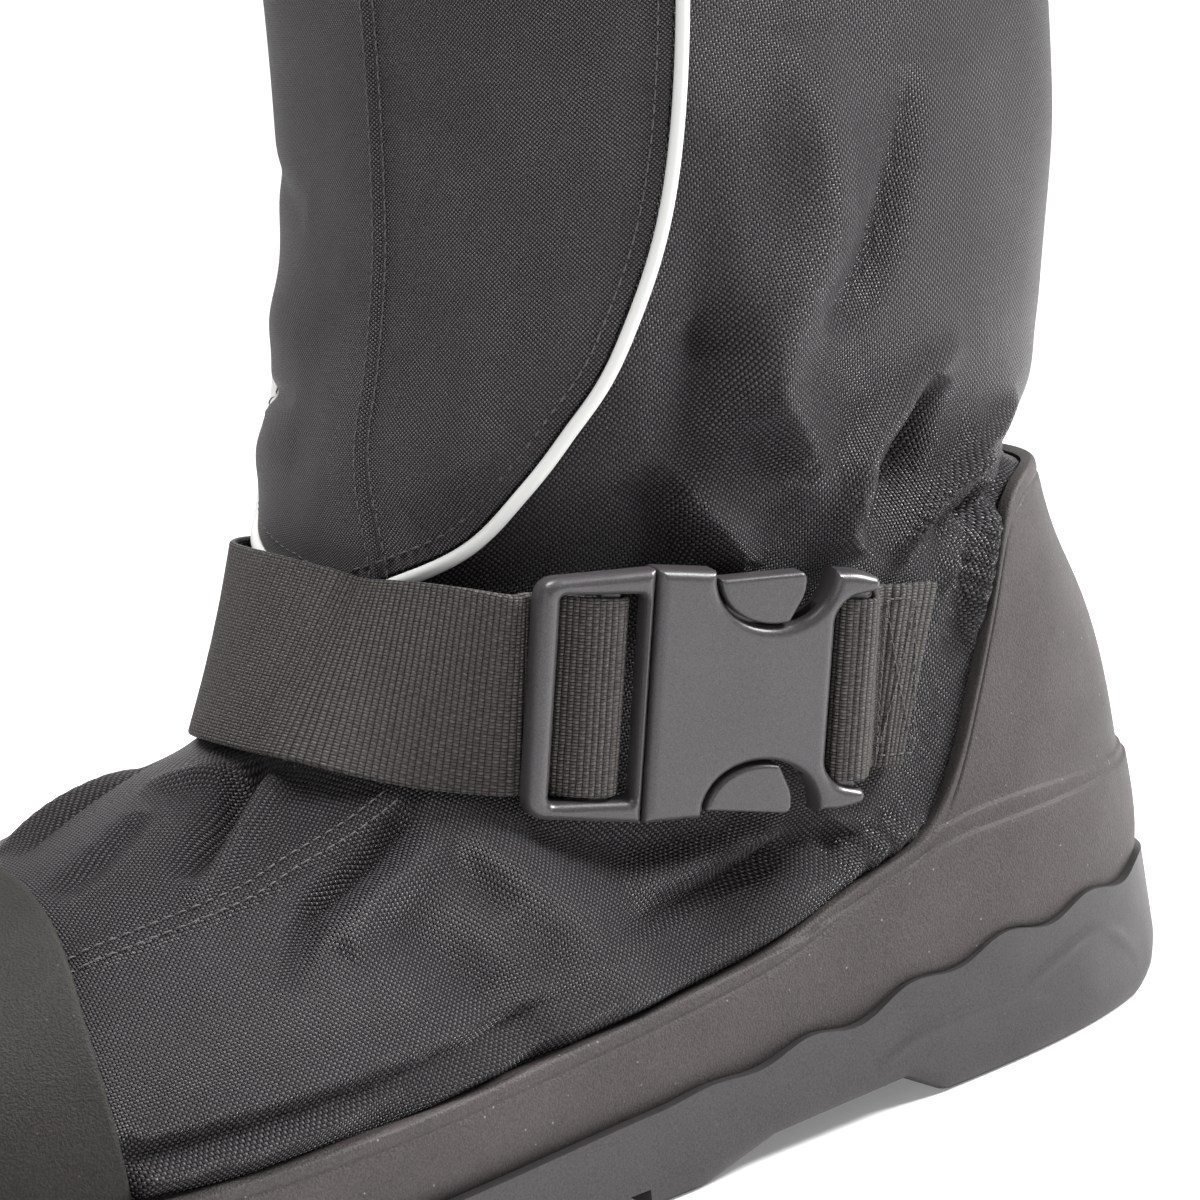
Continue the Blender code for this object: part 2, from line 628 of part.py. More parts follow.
def band(name, centres, acrosses, slant_start=0.0, slant_end=0.0):
    """Webbing of one width and thickness swept along its middle line, with slanted ends."""
    tangent = unit(np.gradient(centres, axis=0))
    across = unit(acrosses - tangent * (acrosses * tangent).sum(-1, keepdims=True))
    out = np.cross(across, tangent)
    rings = []
    for k, centre in enumerate(centres):
        corners = []
        for side, layer in ((-1, -1), (1, -1), (1, 1), (-1, 1)):
            slant = slant_start if k == 0 else slant_end if k == len(centres) - 1 else 0
            corners.append(centre + across[k] * side * WEB_WIDTH / 2 + out[k] * layer * WEB_THICK / 2
                           + tangent[k] * side * slant * WEB_WIDTH / 2)
        rings.append(corners)
    bm = bmesh.new()
    loft(bm, rings)
    return add_object(name, bm, "webbing")


# Places along the buckle and out of it, for the webbing and the two halves
BAR_CENTRE = (FRAME_BOTTOM + FRAME_TOP) / 2 - BAR_SINK
TURN_RADIUS = BAR_THICK / 2 + GAP + WEB_THICK / 2
TURN_SHIFT = (BAR_WIDTH - BAR_THICK) / 2
HALF = BUCKLE_WIDTH / 2
LEFT_END = -BUCKLE_LENGTH / 2
MOUTH = LEFT_END + MALE_LENGTH
MALE_BAR = MOUTH - MALE_BAR_BACK
PLATE_END = BUCKLE_LENGTH / 2 - HORN_LENGTH
FEMALE_BAR = BUCKLE_LENGTH / 2 - FEMALE_BAR_BACK
UNDER_FRAME = FRAME_BOTTOM - GAP - WEB_THICK / 2
LAYER = WEB_THICK + GAP
RAIL = HALF - WEB_WIDTH / 2 - 2 * GAP


def turn_round(bar, side):
    """Half a turn of the webbing round a bar, from over it to under it."""
    angles = np.linspace(pi / 2, -pi / 2, 7)
    return [(bar + side * (TURN_SHIFT + TURN_RADIUS * cos(a)), BAR_CENTRE + TURN_RADIUS * sin(a)) for a in angles]


def make_long_strap():
    """From its sewn end on the inner side over the instep, round the male bar and back under itself."""
    low, top = strap_edges()
    under_bar = in_buckle([(LEFT_END - 4 * WEB_THICK, UNDER_FRAME), (LEFT_END + WEB_THICK / 2, UNDER_FRAME)])
    controls = np.concatenate([(low + top) / 2, under_bar])
    across = np.concatenate([unit(top - low), [ACROSS, ACROSS]])
    smooth = spline(np.concatenate([controls, across], axis=1), np.linspace(0, len(controls) - 1, 3 * len(controls)))
    centres, acrosses = smooth[:, :3], smooth[:, 3:]
    over, under = BAR_CENTRE + TURN_RADIUS - 2 * GAP, BAR_CENTRE - TURN_RADIUS - GAP / 2
    loop = [(LEFT_END + FRAME_BAR, UNDER_FRAME), (MALE_BAR - 5 * WEB_THICK, UNDER_FRAME + 1.5 * WEB_THICK)]
    loop += [(MALE_BAR - 2.7 * WEB_THICK, over)]
    loop += turn_round(MALE_BAR, 1)
    loop += [(MALE_BAR - 2.3 * WEB_THICK, under), (MALE_BAR - 5.7 * WEB_THICK, UNDER_FRAME - LAYER)]
    loop += [(LEFT_END + WEB_THICK / 2, UNDER_FRAME - LAYER)]
    loop_points = in_buckle(loop)
    out = np.cross(acrosses, unit(np.gradient(centres, axis=0)))
    out *= np.sign((out * OUT).sum(-1, keepdims=True)[-1])
    lengths = np.cumsum(np.linalg.norm(np.diff(centres[::-1], axis=0), axis=1))
    count = int((lengths < TAIL_LENGTH).sum())
    tail = (centres - out * LAYER)[::-1][1:count + 1]
    tail_across = acrosses[::-1][1:count + 1]
    middle = np.concatenate([centres, loop_points, tail])
    middle_across = np.concatenate([acrosses, np.tile(ACROSS, (len(loop_points), 1)), tail_across])
    return band("strap_long", middle, middle_across, slant_start=-STRAP_SLANT)


def make_short_strap():
    """Both layers sewn down behind the buckle, with the fold round the female bar between them."""
    start = BUCKLE_LENGTH / 2 + SEWN_START
    axes = np.column_stack([ALONG, ACROSS])
    shares = (0, 0.5, 1)
    line = np.array([place_under(axes, SEAT, start + SEWN_LENGTH * share, 0) for share in shares])
    base, normal = form(line[:, 0], line[:, 1]), outward(line[:, 0], line[:, 1])
    # The webbing is straight across, so it stands on whichever edge the form carries it by
    lift = 0
    for k, share in enumerate(shares):
        for side in (-0.5, 0.5):
            edge = form(*place_under(axes, SEAT, start + SEWN_LENGTH * share, side * WEB_WIDTH))
            lift = max(lift, (edge - base[k]) @ normal[k])
    lower = base + normal * (lift + GAP + WEB_THICK / 2)
    upper = lower + normal * LAYER
    behind = FEMALE_BAR + 2.3 * WEB_THICK
    fold = [(behind, BAR_CENTRE + TURN_RADIUS - 2 * GAP)] + turn_round(FEMALE_BAR, -1)
    fold += [(behind, BAR_CENTRE - TURN_RADIUS - GAP / 2)]
    centres = np.concatenate([upper[::-1], in_buckle(fold), lower])
    tangent = unit(np.gradient(upper, axis=0))
    across = np.cross(normal, tangent)
    across = unit(across * np.sign((across * ACROSS).sum(-1, keepdims=True)))
    acrosses = np.concatenate([across[::-1], np.tile(ACROSS, (len(fold), 1)), across])
    return band("strap_short", centres, acrosses, slant_start=-STRAP_SLANT, slant_end=STRAP_SLANT)


def plate(name, outline, bottom, top, material=None):
    """A flat piece of the buckle from its outline along and across, in the buckle's own frame."""
    bm = bmesh.new()
    prism(bm, [(x, y, bottom) for x, y in outline], (0, 0, top - bottom))
    item = add_object(name, bm, material)
    axes = Matrix([[*row] for row in np.column_stack([ALONG, ACROSS, OUT])]).to_4x4()
    item.matrix_world = Matrix.Translation(Vector(SEAT)) @ axes
    return item


def rectangle(low, high, half):
    return [(low, -half), (high, -half), (high, half), (low, half)]


def soften(item, width):
    bevel = item.modifiers.new("soften", "BEVEL")
    bevel.width = width
    bevel.segments = 2
    bevel.limit_method = "ANGLE"
    bevel.angle_limit = pi / 5


def bar(name, middle):
    """A bar across the buckle that webbing folds round, let into both rails."""
    outline = rectangle(middle - BAR_WIDTH / 2, middle + BAR_WIDTH / 2, HALF - RAIL / 2)
    item = plate(name, outline, BAR_CENTRE - BAR_THICK / 2, BAR_CENTRE + BAR_THICK / 2)
    soften(item, BAR_THICK / 3)
    return item


def make_female():
    """The hollow half: a plate with a scallop in each edge, two horns and a bar for the short strap."""
    start, end = SCALLOP_START * BUCKLE_LENGTH, PLATE_END - EDGE_ROUND
    middle, reach = (start + end) / 2, (end - start) / 2
    side = [(MOUTH + GAP, HALF), (start, HALF - GAP)]
    for angle in np.linspace(0, pi, 10)[1:-1]:
        side.append((middle - reach * cos(angle), HALF - GAP - SCALLOP * sin(angle)))
    side += [(PLATE_END, HALF - GAP), (PLATE_END + HORN_LENGTH / 3, HALF), (BUCKLE_LENGTH / 2, HALF - EDGE_ROUND)]
    side += [(BUCKLE_LENGTH / 2, HALF - RAIL + 2 * GAP), (PLATE_END + HORN_LENGTH / 5, HALF - RAIL)]
    side += [(PLATE_END, HALF - RAIL - HORN_LENGTH / 5)]
    outline = side + [(x, -y) for x, y in reversed(side)]
    female = plate("buckle_female", outline, BODY_BOTTOM, BODY_TOP, "buckle_plastic")
    soften(female, EDGE_ROUND)
    combine(female, bar("female_bar", FEMALE_BAR), "UNION")
    inside = rectangle(MOUTH - 2 * BODY_WALL, PLATE_END - SIDE_WALL, HALF - SIDE_WALL)
    hollow = plate("female_hollow", inside, BODY_BOTTOM + BODY_WALL, BODY_TOP - BODY_WALL)
    combine(female, hollow, "DIFFERENCE")
    return female


def make_male():
    """The frame with its bar, and the two sprung arms whose pads show in the scallops."""
    male = plate("buckle_male", rectangle(LEFT_END, MOUTH, HALF), FRAME_BOTTOM, FRAME_TOP, "buckle_plastic")
    soften(male, FRAME_ROUND)
    opening = rectangle(LEFT_END + FRAME_BAR, MOUTH - MOUTH_BAR, HALF - RAIL)
    window = plate("male_window", opening, FRAME_BOTTOM - WEB_THICK, FRAME_TOP + WEB_THICK)
    combine(male, window, "DIFFERENCE")
    combine(male, bar("male_bar", MALE_BAR), "UNION")
    inside = HALF - SIDE_WALL - GAP
    low, high = BODY_BOTTOM + BODY_WALL + GAP, BODY_TOP - BODY_WALL - GAP
    for name, side in (("male_arm_upper", 1), ("male_arm_lower", -1)):
        outline = [(MOUTH - MOUTH_BAR / 2, side * (inside + ARM[0][1] * BUCKLE_WIDTH))]
        outline += [(x * BUCKLE_LENGTH, side * (inside + y * BUCKLE_WIDTH)) for x, y in ARM]
        outline += [(MOUTH - MOUTH_BAR / 2, side * (inside + ARM[-1][1] * BUCKLE_WIDTH))]
        combine(male, plate(name, outline, low, high), "UNION")
    return male


make_upper()
make_cup()
make_insole()
make_toe_cap()
make_outsole()
make_flap()
make_piping()
make_long_strap()
make_short_strap()
make_female()
make_male()
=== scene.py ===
"""The looks of a winter overshoe for the left foot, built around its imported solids.

Metres, in the solids' own frame: +X runs to the toe, +Y to the outer side, +Z up the leg.
The sections follow the shoe as it is put together, from the outsole to the buckle.
"""
from math import cos, pi, radians, sin

import bmesh
import bpy
import numpy as np
from mathutils import Matrix, Vector
from mathutils.bvhtree import BVHTree
from mathutils.geometry import delaunay_2d_cdt


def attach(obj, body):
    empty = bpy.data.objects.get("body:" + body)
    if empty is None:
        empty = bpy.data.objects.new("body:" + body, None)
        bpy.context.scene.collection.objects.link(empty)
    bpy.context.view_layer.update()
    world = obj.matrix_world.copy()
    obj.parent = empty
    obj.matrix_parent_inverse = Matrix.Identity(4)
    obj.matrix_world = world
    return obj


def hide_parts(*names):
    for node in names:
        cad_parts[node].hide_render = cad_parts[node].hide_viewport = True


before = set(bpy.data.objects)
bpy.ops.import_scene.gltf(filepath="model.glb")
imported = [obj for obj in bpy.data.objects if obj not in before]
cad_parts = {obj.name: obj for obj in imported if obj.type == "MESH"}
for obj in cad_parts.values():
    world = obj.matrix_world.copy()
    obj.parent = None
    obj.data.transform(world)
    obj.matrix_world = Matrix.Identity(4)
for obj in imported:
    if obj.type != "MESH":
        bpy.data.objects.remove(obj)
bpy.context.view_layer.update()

# Outsole
# A rubber tread pressed in one colour, bonded under the midsole. Its side is smooth, with low
# wavy ribs at the heel, and its underside is cut across into lugs.
LENGTH = 0.336
BALL_WIDTH = 0.1215
INSTEP_HEIGHT = 0.102
COLLAR_HEIGHT = 0.299
SHAFT_WIDTH = 0.138
HEEL_REST = 0.0475
GAP = 0.0003
SOLE_HEIGHT = 0.030
OUTSOLE_HEIGHT = 0.026
RAND_THICK = 0.0044
OUTSOLE_PROUD = 0.0009
OUTSOLE_EDGE = 0.003
OUTLINE_SPACING = 0.0016
HEEL_BEVEL = 0.010
ARCH_RISE = 0.0055
TOE_SPRING = 0.012
WAVE_DEPTH = 0.0013
WAVE_PITCH = 0.026
LUG_PITCH = 0.016
LUG_GROOVE = 0.0045
LUG_DEPTH = 0.004
LUG_SWEEP = 0.009
# Where the forefoot's grooves start and end, as shares of LENGTH, and how wide they reach
GROOVES_START = 0.44
GROOVES_END = 0.90
GROOVE_REACH = 0.75
HEEL_GROOVE = 0.030
BELOW = -0.05

# The last: sections from the toe to the collar. Columns: front and back along the shoe as shares
# of LENGTH, rise and fall in heights (1 is the instep, 2 the collar), width and swing to the outer
# side as shares of the width, how far up the widest place lies, how square each half is.
FOOT_SECTIONS = [
    (1.000, 0.360, 1.000, 0.330, 0.030, -0.068, 0.40, 2.4, 2.2),
    (0.988, 0.465, 0.988, 0.202, 0.373, -0.068, 0.42, 2.6, 2.2),
    (0.951, 0.576, 0.951, 0.121, 0.678, -0.068, 0.38, 3.2, 2.3),
    (0.877, 0.677, 0.877, 0.071, 0.881, -0.051, 0.36, 3.8, 2.3),
    (0.785, 0.758, 0.785, 0.051, 0.983, -0.017, 0.36, 4.0, 2.2),
    (0.699, 0.838, 0.693, 0.051, 1.000, 0.008, 0.36, 4.0, 2.1),
    (0.629, 0.899, 0.589, 0.051, 0.983, 0.025, 0.38, 4.0, 2.1),
    (0.580, 0.939, 0.460, 0.051, 0.924, 0.038, 0.42, 3.8, 2.1),
    (0.552, 1.000, 0.276, 0.040, 0.864, 0.034, 0.46, 3.6, 2.2),
]
LEG_SECTIONS = [
    (0.537, 1.042, 0.098, 0.020, 0.746, 0.015, 0.48, 3.0, 2.3),
    (0.528, 1.079, 0.012, 0.202, 0.761, 0.000, 0.49, 2.5, 2.4),
    (0.518, 1.115, 0.000, 0.485, 0.776, 0.000, 0.50, 2.3, 2.5),
    (0.509, 1.152, 0.006, 0.788, 0.806, 0.000, 0.50, 2.2, 2.5),
    (0.497, 1.194, 0.025, 1.026, 0.836, 0.000, 0.50, 2.2, 2.5),
    (0.482, 1.241, 0.034, 1.099, 0.851, 0.000, 0.50, 2.2, 2.5),
    (0.466, 1.309, 0.006, 1.215, 0.896, 0.000, 0.50, 2.2, 2.5),
    (0.448, 1.455, -0.015, 1.403, 0.925, 0.000, 0.50, 2.2, 2.5),
    (0.433, 1.665, -0.028, 1.644, 0.955, 0.000, 0.50, 2.2, 2.5),
    (0.420, 2.000, -0.037, 2.000, 1.000, 0.000, 0.50, 2.2, 2.5),
]
COLLAR = len(FOOT_SECTIONS) + len(LEG_SECTIONS) - 1

# Lines along the side of the sole: along the shoe, then the share of the size named
FEATHER = [(0.00, 1.00), (0.25, 1.00), (0.46, 0.84), (0.62, 0.72), (0.76, 0.69), (0.90, 0.76), (1.00, 0.90)]
WAVE = [
    (0.00, 1.00), (0.08, 1.00), (0.20, 0.97), (0.30, 0.80), (0.46, 0.68),
    (0.62, 0.57), (0.80, 0.54), (0.93, 0.64), (1.00, 0.74),
]
# The underside: along, heel bevel, arch, toe spring
TREAD = [
    (-0.05, 1.0, 0, 0), (0.00, 0.80, 0, 0), (0.03, 0.24, 0, 0), (0.055, 0, 0, 0), (0.235, 0, 0, 0),
    (0.26, 0, 1, 0), (0.36, 0, 0.82, 0), (0.415, 0, 0, 0), (0.75, 0, 0, 0), (0.82, 0, 0, 0.10),
    (0.88, 0, 0, 0.30), (0.94, 0, 0, 0.60), (1.00, 0, 0, 1.0), (1.05, 0, 0, 1.25),
]


def spline(rows, place):
    """A smooth curve through the rows of a table, by row number."""
    rows = np.asarray(rows, float)
    place = np.clip(np.asarray(place, float), 0, len(rows) - 1)
    row = np.minimum(place.astype(int), len(rows) - 2)
    part = (place - row)[..., None]
    before, start = rows[np.maximum(row - 1, 0)], rows[row]
    end, after = rows[row + 1], rows[np.minimum(row + 2, len(rows) - 1)]
    return (start * (2 * part**3 - 3 * part**2 + 1) + end * (3 * part**2 - 2 * part**3)
            + (end - before) / 2 * (part**3 - 2 * part**2 + part) + (after - start) / 2 * (part**3 - part**2))


def curve(rows, count):
    """The smooth curve through the rows of a table, in even steps from row to row."""
    return spline(rows, np.linspace(0, len(rows) - 1, count))


def section_table():
    """The sections in metres."""
    rows = []
    for table, width in ((FOOT_SECTIONS, BALL_WIDTH), (LEG_SECTIONS, SHAFT_WIDTH)):
        for front, rise, back, fall, wide, swing, *shape in table:
            heights = np.interp([rise, fall], [0, 1, 2], [0, INSTEP_HEIGHT, COLLAR_HEIGHT])
            rows.append([front * LENGTH - HEEL_REST, heights[0], back * LENGTH - HEEL_REST, heights[1],
                         wide * width / 2, swing * width, *shape])
    return np.array(rows)


SECTIONS = section_table()


def form(station, turn):
    """The last. A turn runs from the back of a section by the outer side to its front."""
    station, turn = np.broadcast_arrays(np.asarray(station, float), np.asarray(turn, float))
    columns = np.moveaxis(spline(SECTIONS, station), -1, 0)
    front, rise, back, fall, half, swing, belly, low_square, top_square = columns
    lift, side = np.cos(2 * pi * turn), np.sin(2 * pi * turn)
    square = np.where(lift > 0, low_square, top_square)
    bow = np.abs(lift) ** (2 / square)
    height = np.where(lift > 0, belly - belly * bow, belly + (1 - belly) * bow)
    across = swing + half * np.sign(side) * np.abs(side) ** (2 / square)
    return np.stack([back + (front - back) * height, across, fall + (rise - fall) * height], -1)


def unit(vectors):
    return vectors / np.maximum(np.linalg.norm(vectors, axis=-1, keepdims=True), 1e-12)


def outward(station, turn):
    """The last's normal, pointing out of the shoe."""
    step = 0.01
    station, turn = np.asarray(station, float), np.asarray(turn, float)
    along = form(np.minimum(station + step, COLLAR), turn) - form(np.maximum(station - step, 0), turn)
    around = form(station, turn + step) - form(station, turn - step)
    return unit(np.cross(along, around))


def smooth_step(value):
    value = np.clip(value, 0, 1)
    return value * value * (3 - 2 * value)


def bell(distance, width):
    return np.exp(-((distance / width) ** 2))


def run_along(points):
    """How far each point lies along its line, or along its column of a grid."""
    steps = np.linalg.norm(np.diff(points, axis=0), axis=-1)
    return np.concatenate([np.zeros_like(steps[:1]), np.cumsum(steps, axis=0)])


def carried(places, run, values):
    """Values along a line, read off at places of its run."""
    return np.stack([np.interp(places, run, column) for column in np.transpose(values)], -1)


def side_line(table, along, column=1):
    """A column of a side line, smooth along the shoe. Along is measured from the heel's back."""
    rows = np.array([row[:1] + (row[column],) for row in table], float)
    fine = curve(rows, 40 * len(rows))
    return np.interp(along / LENGTH, fine[:, 0], fine[:, 1])


def feather(along):
    return SOLE_HEIGHT * side_line(FEATHER, along)


def wave_line(along):
    """The wavy line where the moulding meets the outsole."""
    fade = np.interp(along / LENGTH, [0.0, 0.05, 0.32, 0.45], [0.4, 1, 1, 0])
    return OUTSOLE_HEIGHT * side_line(WAVE, along) + WAVE_DEPTH * fade * np.sin(2 * pi * along / WAVE_PITCH)


def tread_line(along):
    places, bevel, arch, spring = np.array(TREAD).T
    rise = bevel * HEEL_BEVEL + arch * ARCH_RISE + spring * TOE_SPRING
    return np.interp(along / LENGTH, places, rise)


def prism(bm, outline, shift):
    """A closed block: a flat outline pushed along a vector."""
    face = bm.faces.new([bm.verts.new(point) for point in outline])
    moved = bmesh.ops.extrude_face_region(bm, geom=[face])["geom"]
    bmesh.ops.translate(bm, vec=shift, verts=[v for v in moved if isinstance(v, bmesh.types.BMVert)])


def object_of(name, mesh):
    item = bpy.data.objects.new(name, mesh)
    bpy.context.scene.collection.objects.link(item)
    return item


def solid(name, bm):
    """An object from a closed bmesh, with its faces pointing out."""
    bmesh.ops.recalc_face_normals(bm, faces=bm.faces)
    mesh = bpy.data.meshes.new(name)
    bm.to_mesh(mesh)
    bm.free()
    return object_of(name, mesh)


def cut(item, cutters, operation="DIFFERENCE"):
    """Cuts or joins solids for good and removes the cutters."""
    for cutter in cutters:
        modifier = item.modifiers.new("cut", "BOOLEAN")
        modifier.object = cutter
        modifier.operation = operation
        modifier.solver = "EXACT"
    settle(item)
    for cutter in cutters:
        bpy.data.objects.remove(cutter)


def settle(item):
    """Keeps the mesh as its modifiers leave it."""
    bpy.context.view_layer.update()
    mesh = bpy.data.meshes.new_from_object(item.evaluated_get(bpy.context.evaluated_depsgraph_get()))
    item.modifiers.clear()
    item.data = mesh


def round_edges(item, width, segments):
    bevel = item.modifiers.new("round", "BEVEL")
    bevel.width = width
    bevel.segments = segments
    bevel.limit_method = "ANGLE"
    bevel.angle_limit = radians(35)
    bevel.harden_normals = False
    settle(item)


def dress(item, material, slot, *nodes):
    """Gives a piece its material, lets it ride on the shoe and stand for its solids. The slot is not used."""
    item.data.materials.clear()
    item.data.materials.append(material)
    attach(item, "root")
    if nodes:
        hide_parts(*nodes)
    return item


def smooth(item, angle=radians(32)):
    item.data.shade_smooth()
    item.data.set_sharp_from_angle(angle=angle)


def feed(tree, socket, value):
    """Links a socket to this one, or sets its value."""
    if isinstance(value, bpy.types.NodeSocket):
        tree.links.new(value, socket)
    else:
        socket.default_value = value


def add_node(tree, kind, settings=None, **inputs):
    """A shader node. Inputs are named by socket, or in0, in1 where sockets share a name."""
    made = tree.nodes.new("ShaderNode" + kind)
    for name, value in (settings or {}).items():
        setattr(made, name, value)
    for name, value in inputs.items():
        place = int(name[2:]) if name[:2] == "in" and name[2:].isdigit() else name.replace("_", " ")
        feed(tree, made.inputs[place], value)
    return made


def maths(tree, operation, *values):
    """The result of a Math node."""
    made = add_node(tree, "Math", {"operation": operation}, **{f"in{k}": v for k, v in enumerate(values)})
    return made.outputs[0]


def vector_maths(tree, operation, first, second):
    """The result of a Vector Math node. SCALE takes a number as its second value."""
    name = "Scale" if operation == "SCALE" else "in1"
    return add_node(tree, "VectorMath", {"operation": operation}, in0=first, **{name: second}).outputs[0]


def noise(tree, place, scale, detail, roughness=0.5):
    """A noise texture's outputs: its height, then its colour."""
    made = add_node(tree, "TexNoise", None, Vector=place, Scale=scale, Detail=detail, Roughness=roughness)
    return made.outputs


def blend_colours(tree, share, first, second):
    return add_node(tree, "Mix", {"data_type": "RGBA"}, in0=share, in6=first, in7=second).outputs[2]


def ramp(tree, value, low, high, from_low=0.0, from_high=1.0):
    made = add_node(tree, "MapRange", None, in0=value, in1=from_low, in2=from_high, in3=low, in4=high)
    return made.outputs[0]


def new_group(name, inputs, outputs):
    """A shader node group with named inputs and outputs."""
    tree = bpy.data.node_groups.new(name, "ShaderNodeTree")
    for label, kind, value in inputs:
        socket = tree.interface.new_socket(label, in_out="INPUT", socket_type="NodeSocket" + kind)
        if value is not None:
            socket.default_value = value
    for label, kind in outputs:
        tree.interface.new_socket(label, in_out="OUTPUT", socket_type="NodeSocket" + kind)
    return tree, tree.nodes.new("NodeGroupInput").outputs, tree.nodes.new("NodeGroupOutput").inputs


def use_group(tree, group, **inputs):
    made = tree.nodes.new("ShaderNodeGroup")
    made.node_tree = group
    for name, value in inputs.items():
        feed(tree, made.inputs[name], value)
    return made.outputs


def new_material(name, **constants):
    """A material with its Principled BSDF, whose constants are set on its own sockets."""
    material = bpy.data.materials.new(name)
    material.use_nodes = True
    tree = material.node_tree
    shader = tree.nodes["Principled BSDF"]
    for label, value in constants.items():
        shader.inputs[label.replace("_", " ")].default_value = value
    return material, tree, shader


def relief(tree, shader, height, distance):
    """Bump from a height into the shader's normal."""
    made = add_node(tree, "Bump", None, Strength=1.0, Distance=distance, Height=height)
    tree.links.new(made.outputs[0], shader.inputs["Normal"])


def make_grain():
    """Pebbled grain of a moulded surface, with pale specks, its colour darker in the hollows of its relief
    and paler on its tops.
    """
    tree, ins, outs = new_group("moulded_grain", [
        ("Colour", "Color", (0.1, 0.1, 0.1, 1)), ("Speck", "Color", (0.3, 0.3, 0.3, 1)),
        ("Size", "Float", 0.001), ("Specks", "Float", 0.5), ("Mottle", "Float", 0.2),
    ], [("Colour", "Color"), ("Roughness", "Float"), ("Height", "Float")])
    place = add_node(tree, "TexCoord").outputs["Object"]
    per_size = maths(tree, "DIVIDE", 1.0, ins["Size"])
    fine, coarse = noise(tree, place, per_size, 2.0, 0.55)[0], noise(tree, place, 55.0, 4.0, 0.6)[0]
    cells = add_node(tree, "TexVoronoi", None, Vector=place, Scale=maths(tree, "MULTIPLY", per_size, 0.22))
    speck = ramp(tree, cells.outputs[0], 1.0, 0.0, 0.05, 0.13)
    pick = add_node(tree, "SeparateColor", None, Color=cells.outputs[1]).outputs[0]
    chosen = ramp(tree, pick, 0.0, 1.0, 0.80, 0.86)
    speck = maths(tree, "MULTIPLY", maths(tree, "MULTIPLY", speck, chosen), ins["Specks"])
    # The colour follows the same fine noise as the relief: darker in the hollows, paler on the tops; the
    # mottle adds tone at random.
    shade = maths(tree, "ADD", ramp(tree, fine, 0.62, 1.40, 0.3, 0.7),
                  maths(tree, "MULTIPLY", ins["Mottle"], ramp(tree, coarse, -0.5, 0.5, 0.3, 0.7)))
    colour = vector_maths(tree, "SCALE", ins["Colour"], shade)
    tree.links.new(blend_colours(tree, speck, colour, ins["Speck"]), outs["Colour"])
    tree.links.new(ramp(tree, coarse, 0.06, -0.06, 0.3, 0.7), outs["Roughness"])
    tree.links.new(fine, outs["Height"])
    return tree


GRAIN = make_grain()


def moulded(name, colour, speck, size, specks, mottle, roughness, depth, **constants):
    """A moulded finish: grain in colour, roughness and relief."""
    material, tree, shader = new_material(name, **constants)
    grain = use_group(tree, GRAIN, Colour=(*colour, 1), Speck=(*speck, 1), Size=size, Specks=specks,
                      Mottle=mottle)
    tree.links.new(grain["Colour"], shader.inputs["Base Color"])
    tree.links.new(maths(tree, "ADD", grain["Roughness"], roughness), shader.inputs["Roughness"])
    relief(tree, shader, grain["Height"], depth)
    return material


def sole_outline(count):
    """The outer side of the last at the feather, from the toe tip to the heel's back."""
    fine = np.linspace(0.02, 12, 1200)
    backs = form(fine, 0.0)
    under = backs[:, 2] < feather(backs[:, 0] + HEEL_REST)
    first, last = fine[under][0], fine[under][-1]
    places = first + (last - first) * (1 - np.cos(np.linspace(0, pi, count))) / 2
    low, high = np.zeros(count), np.full(count, 0.45)
    for _ in range(30):
        middle = (low + high) / 2
        points = form(places, middle)
        below = points[:, 2] < feather(points[:, 0] + HEEL_REST)
        low, high = np.where(below, middle, low), np.where(below, high, middle)
    return form(places, low), form(places, 1 - low)


def even_outline(spacing):
    """The sole's outline in plan, evenly spaced and smoothed, with its outward normals."""
    outer, inner = sole_outline(240)
    plan = np.concatenate([outer, inner[-2:0:-1]])[:, :2]
    closed = np.concatenate([plan, plan[:1]])
    length = run_along(closed)
    count = int(length[-1] / spacing / 2) * 2
    plan = carried(np.arange(count) / count * length[-1], length, closed)
    for _ in range(6):
        plan = (np.roll(plan, 1, axis=0) + 2 * plan + np.roll(plan, -1, axis=0)) / 4
    tangent = np.roll(plan, -1, axis=0) - np.roll(plan, 1, axis=0)
    normal = unit(np.stack([-tangent[:, 1], tangent[:, 0]], -1))
    return plan, normal * np.sign((normal * (plan - plan.mean(0))).sum())


# Wavy ribs on the outsole's side at the heel: along the shoe and up the side as shares of
# OUTSOLE_HEIGHT, from end to end
HEEL_RIBS = [
    [(0.052, 0.30), (0.078, 0.62), (0.104, 0.72), (0.132, 0.66), (0.165, 0.54)],
    [(0.150, 0.40), (0.180, 0.50), (0.214, 0.52), (0.250, 0.50), (0.280, 0.40)],
]
RIB_WIDTH = 0.0011
RIB_RISE = 0.0007


def rib_height(along, height):
    """How far the wavy ribs stand out, over a place on the outsole's side."""
    total = np.zeros(np.shape(along))
    count = 60
    for rib in HEEL_RIBS:
        line = curve(rib, count) * [LENGTH, OUTSOLE_HEIGHT]
        away = np.hypot(along[..., None] - line[:, 0], height[..., None] - line[:, 1])
        fade = np.sin(pi * np.clip(away.argmin(-1) / (count - 1), 0.02, 0.98)) ** 0.5
        total = np.maximum(total, RIB_RISE * fade * bell(away.min(-1), RIB_WIDTH))
    return total


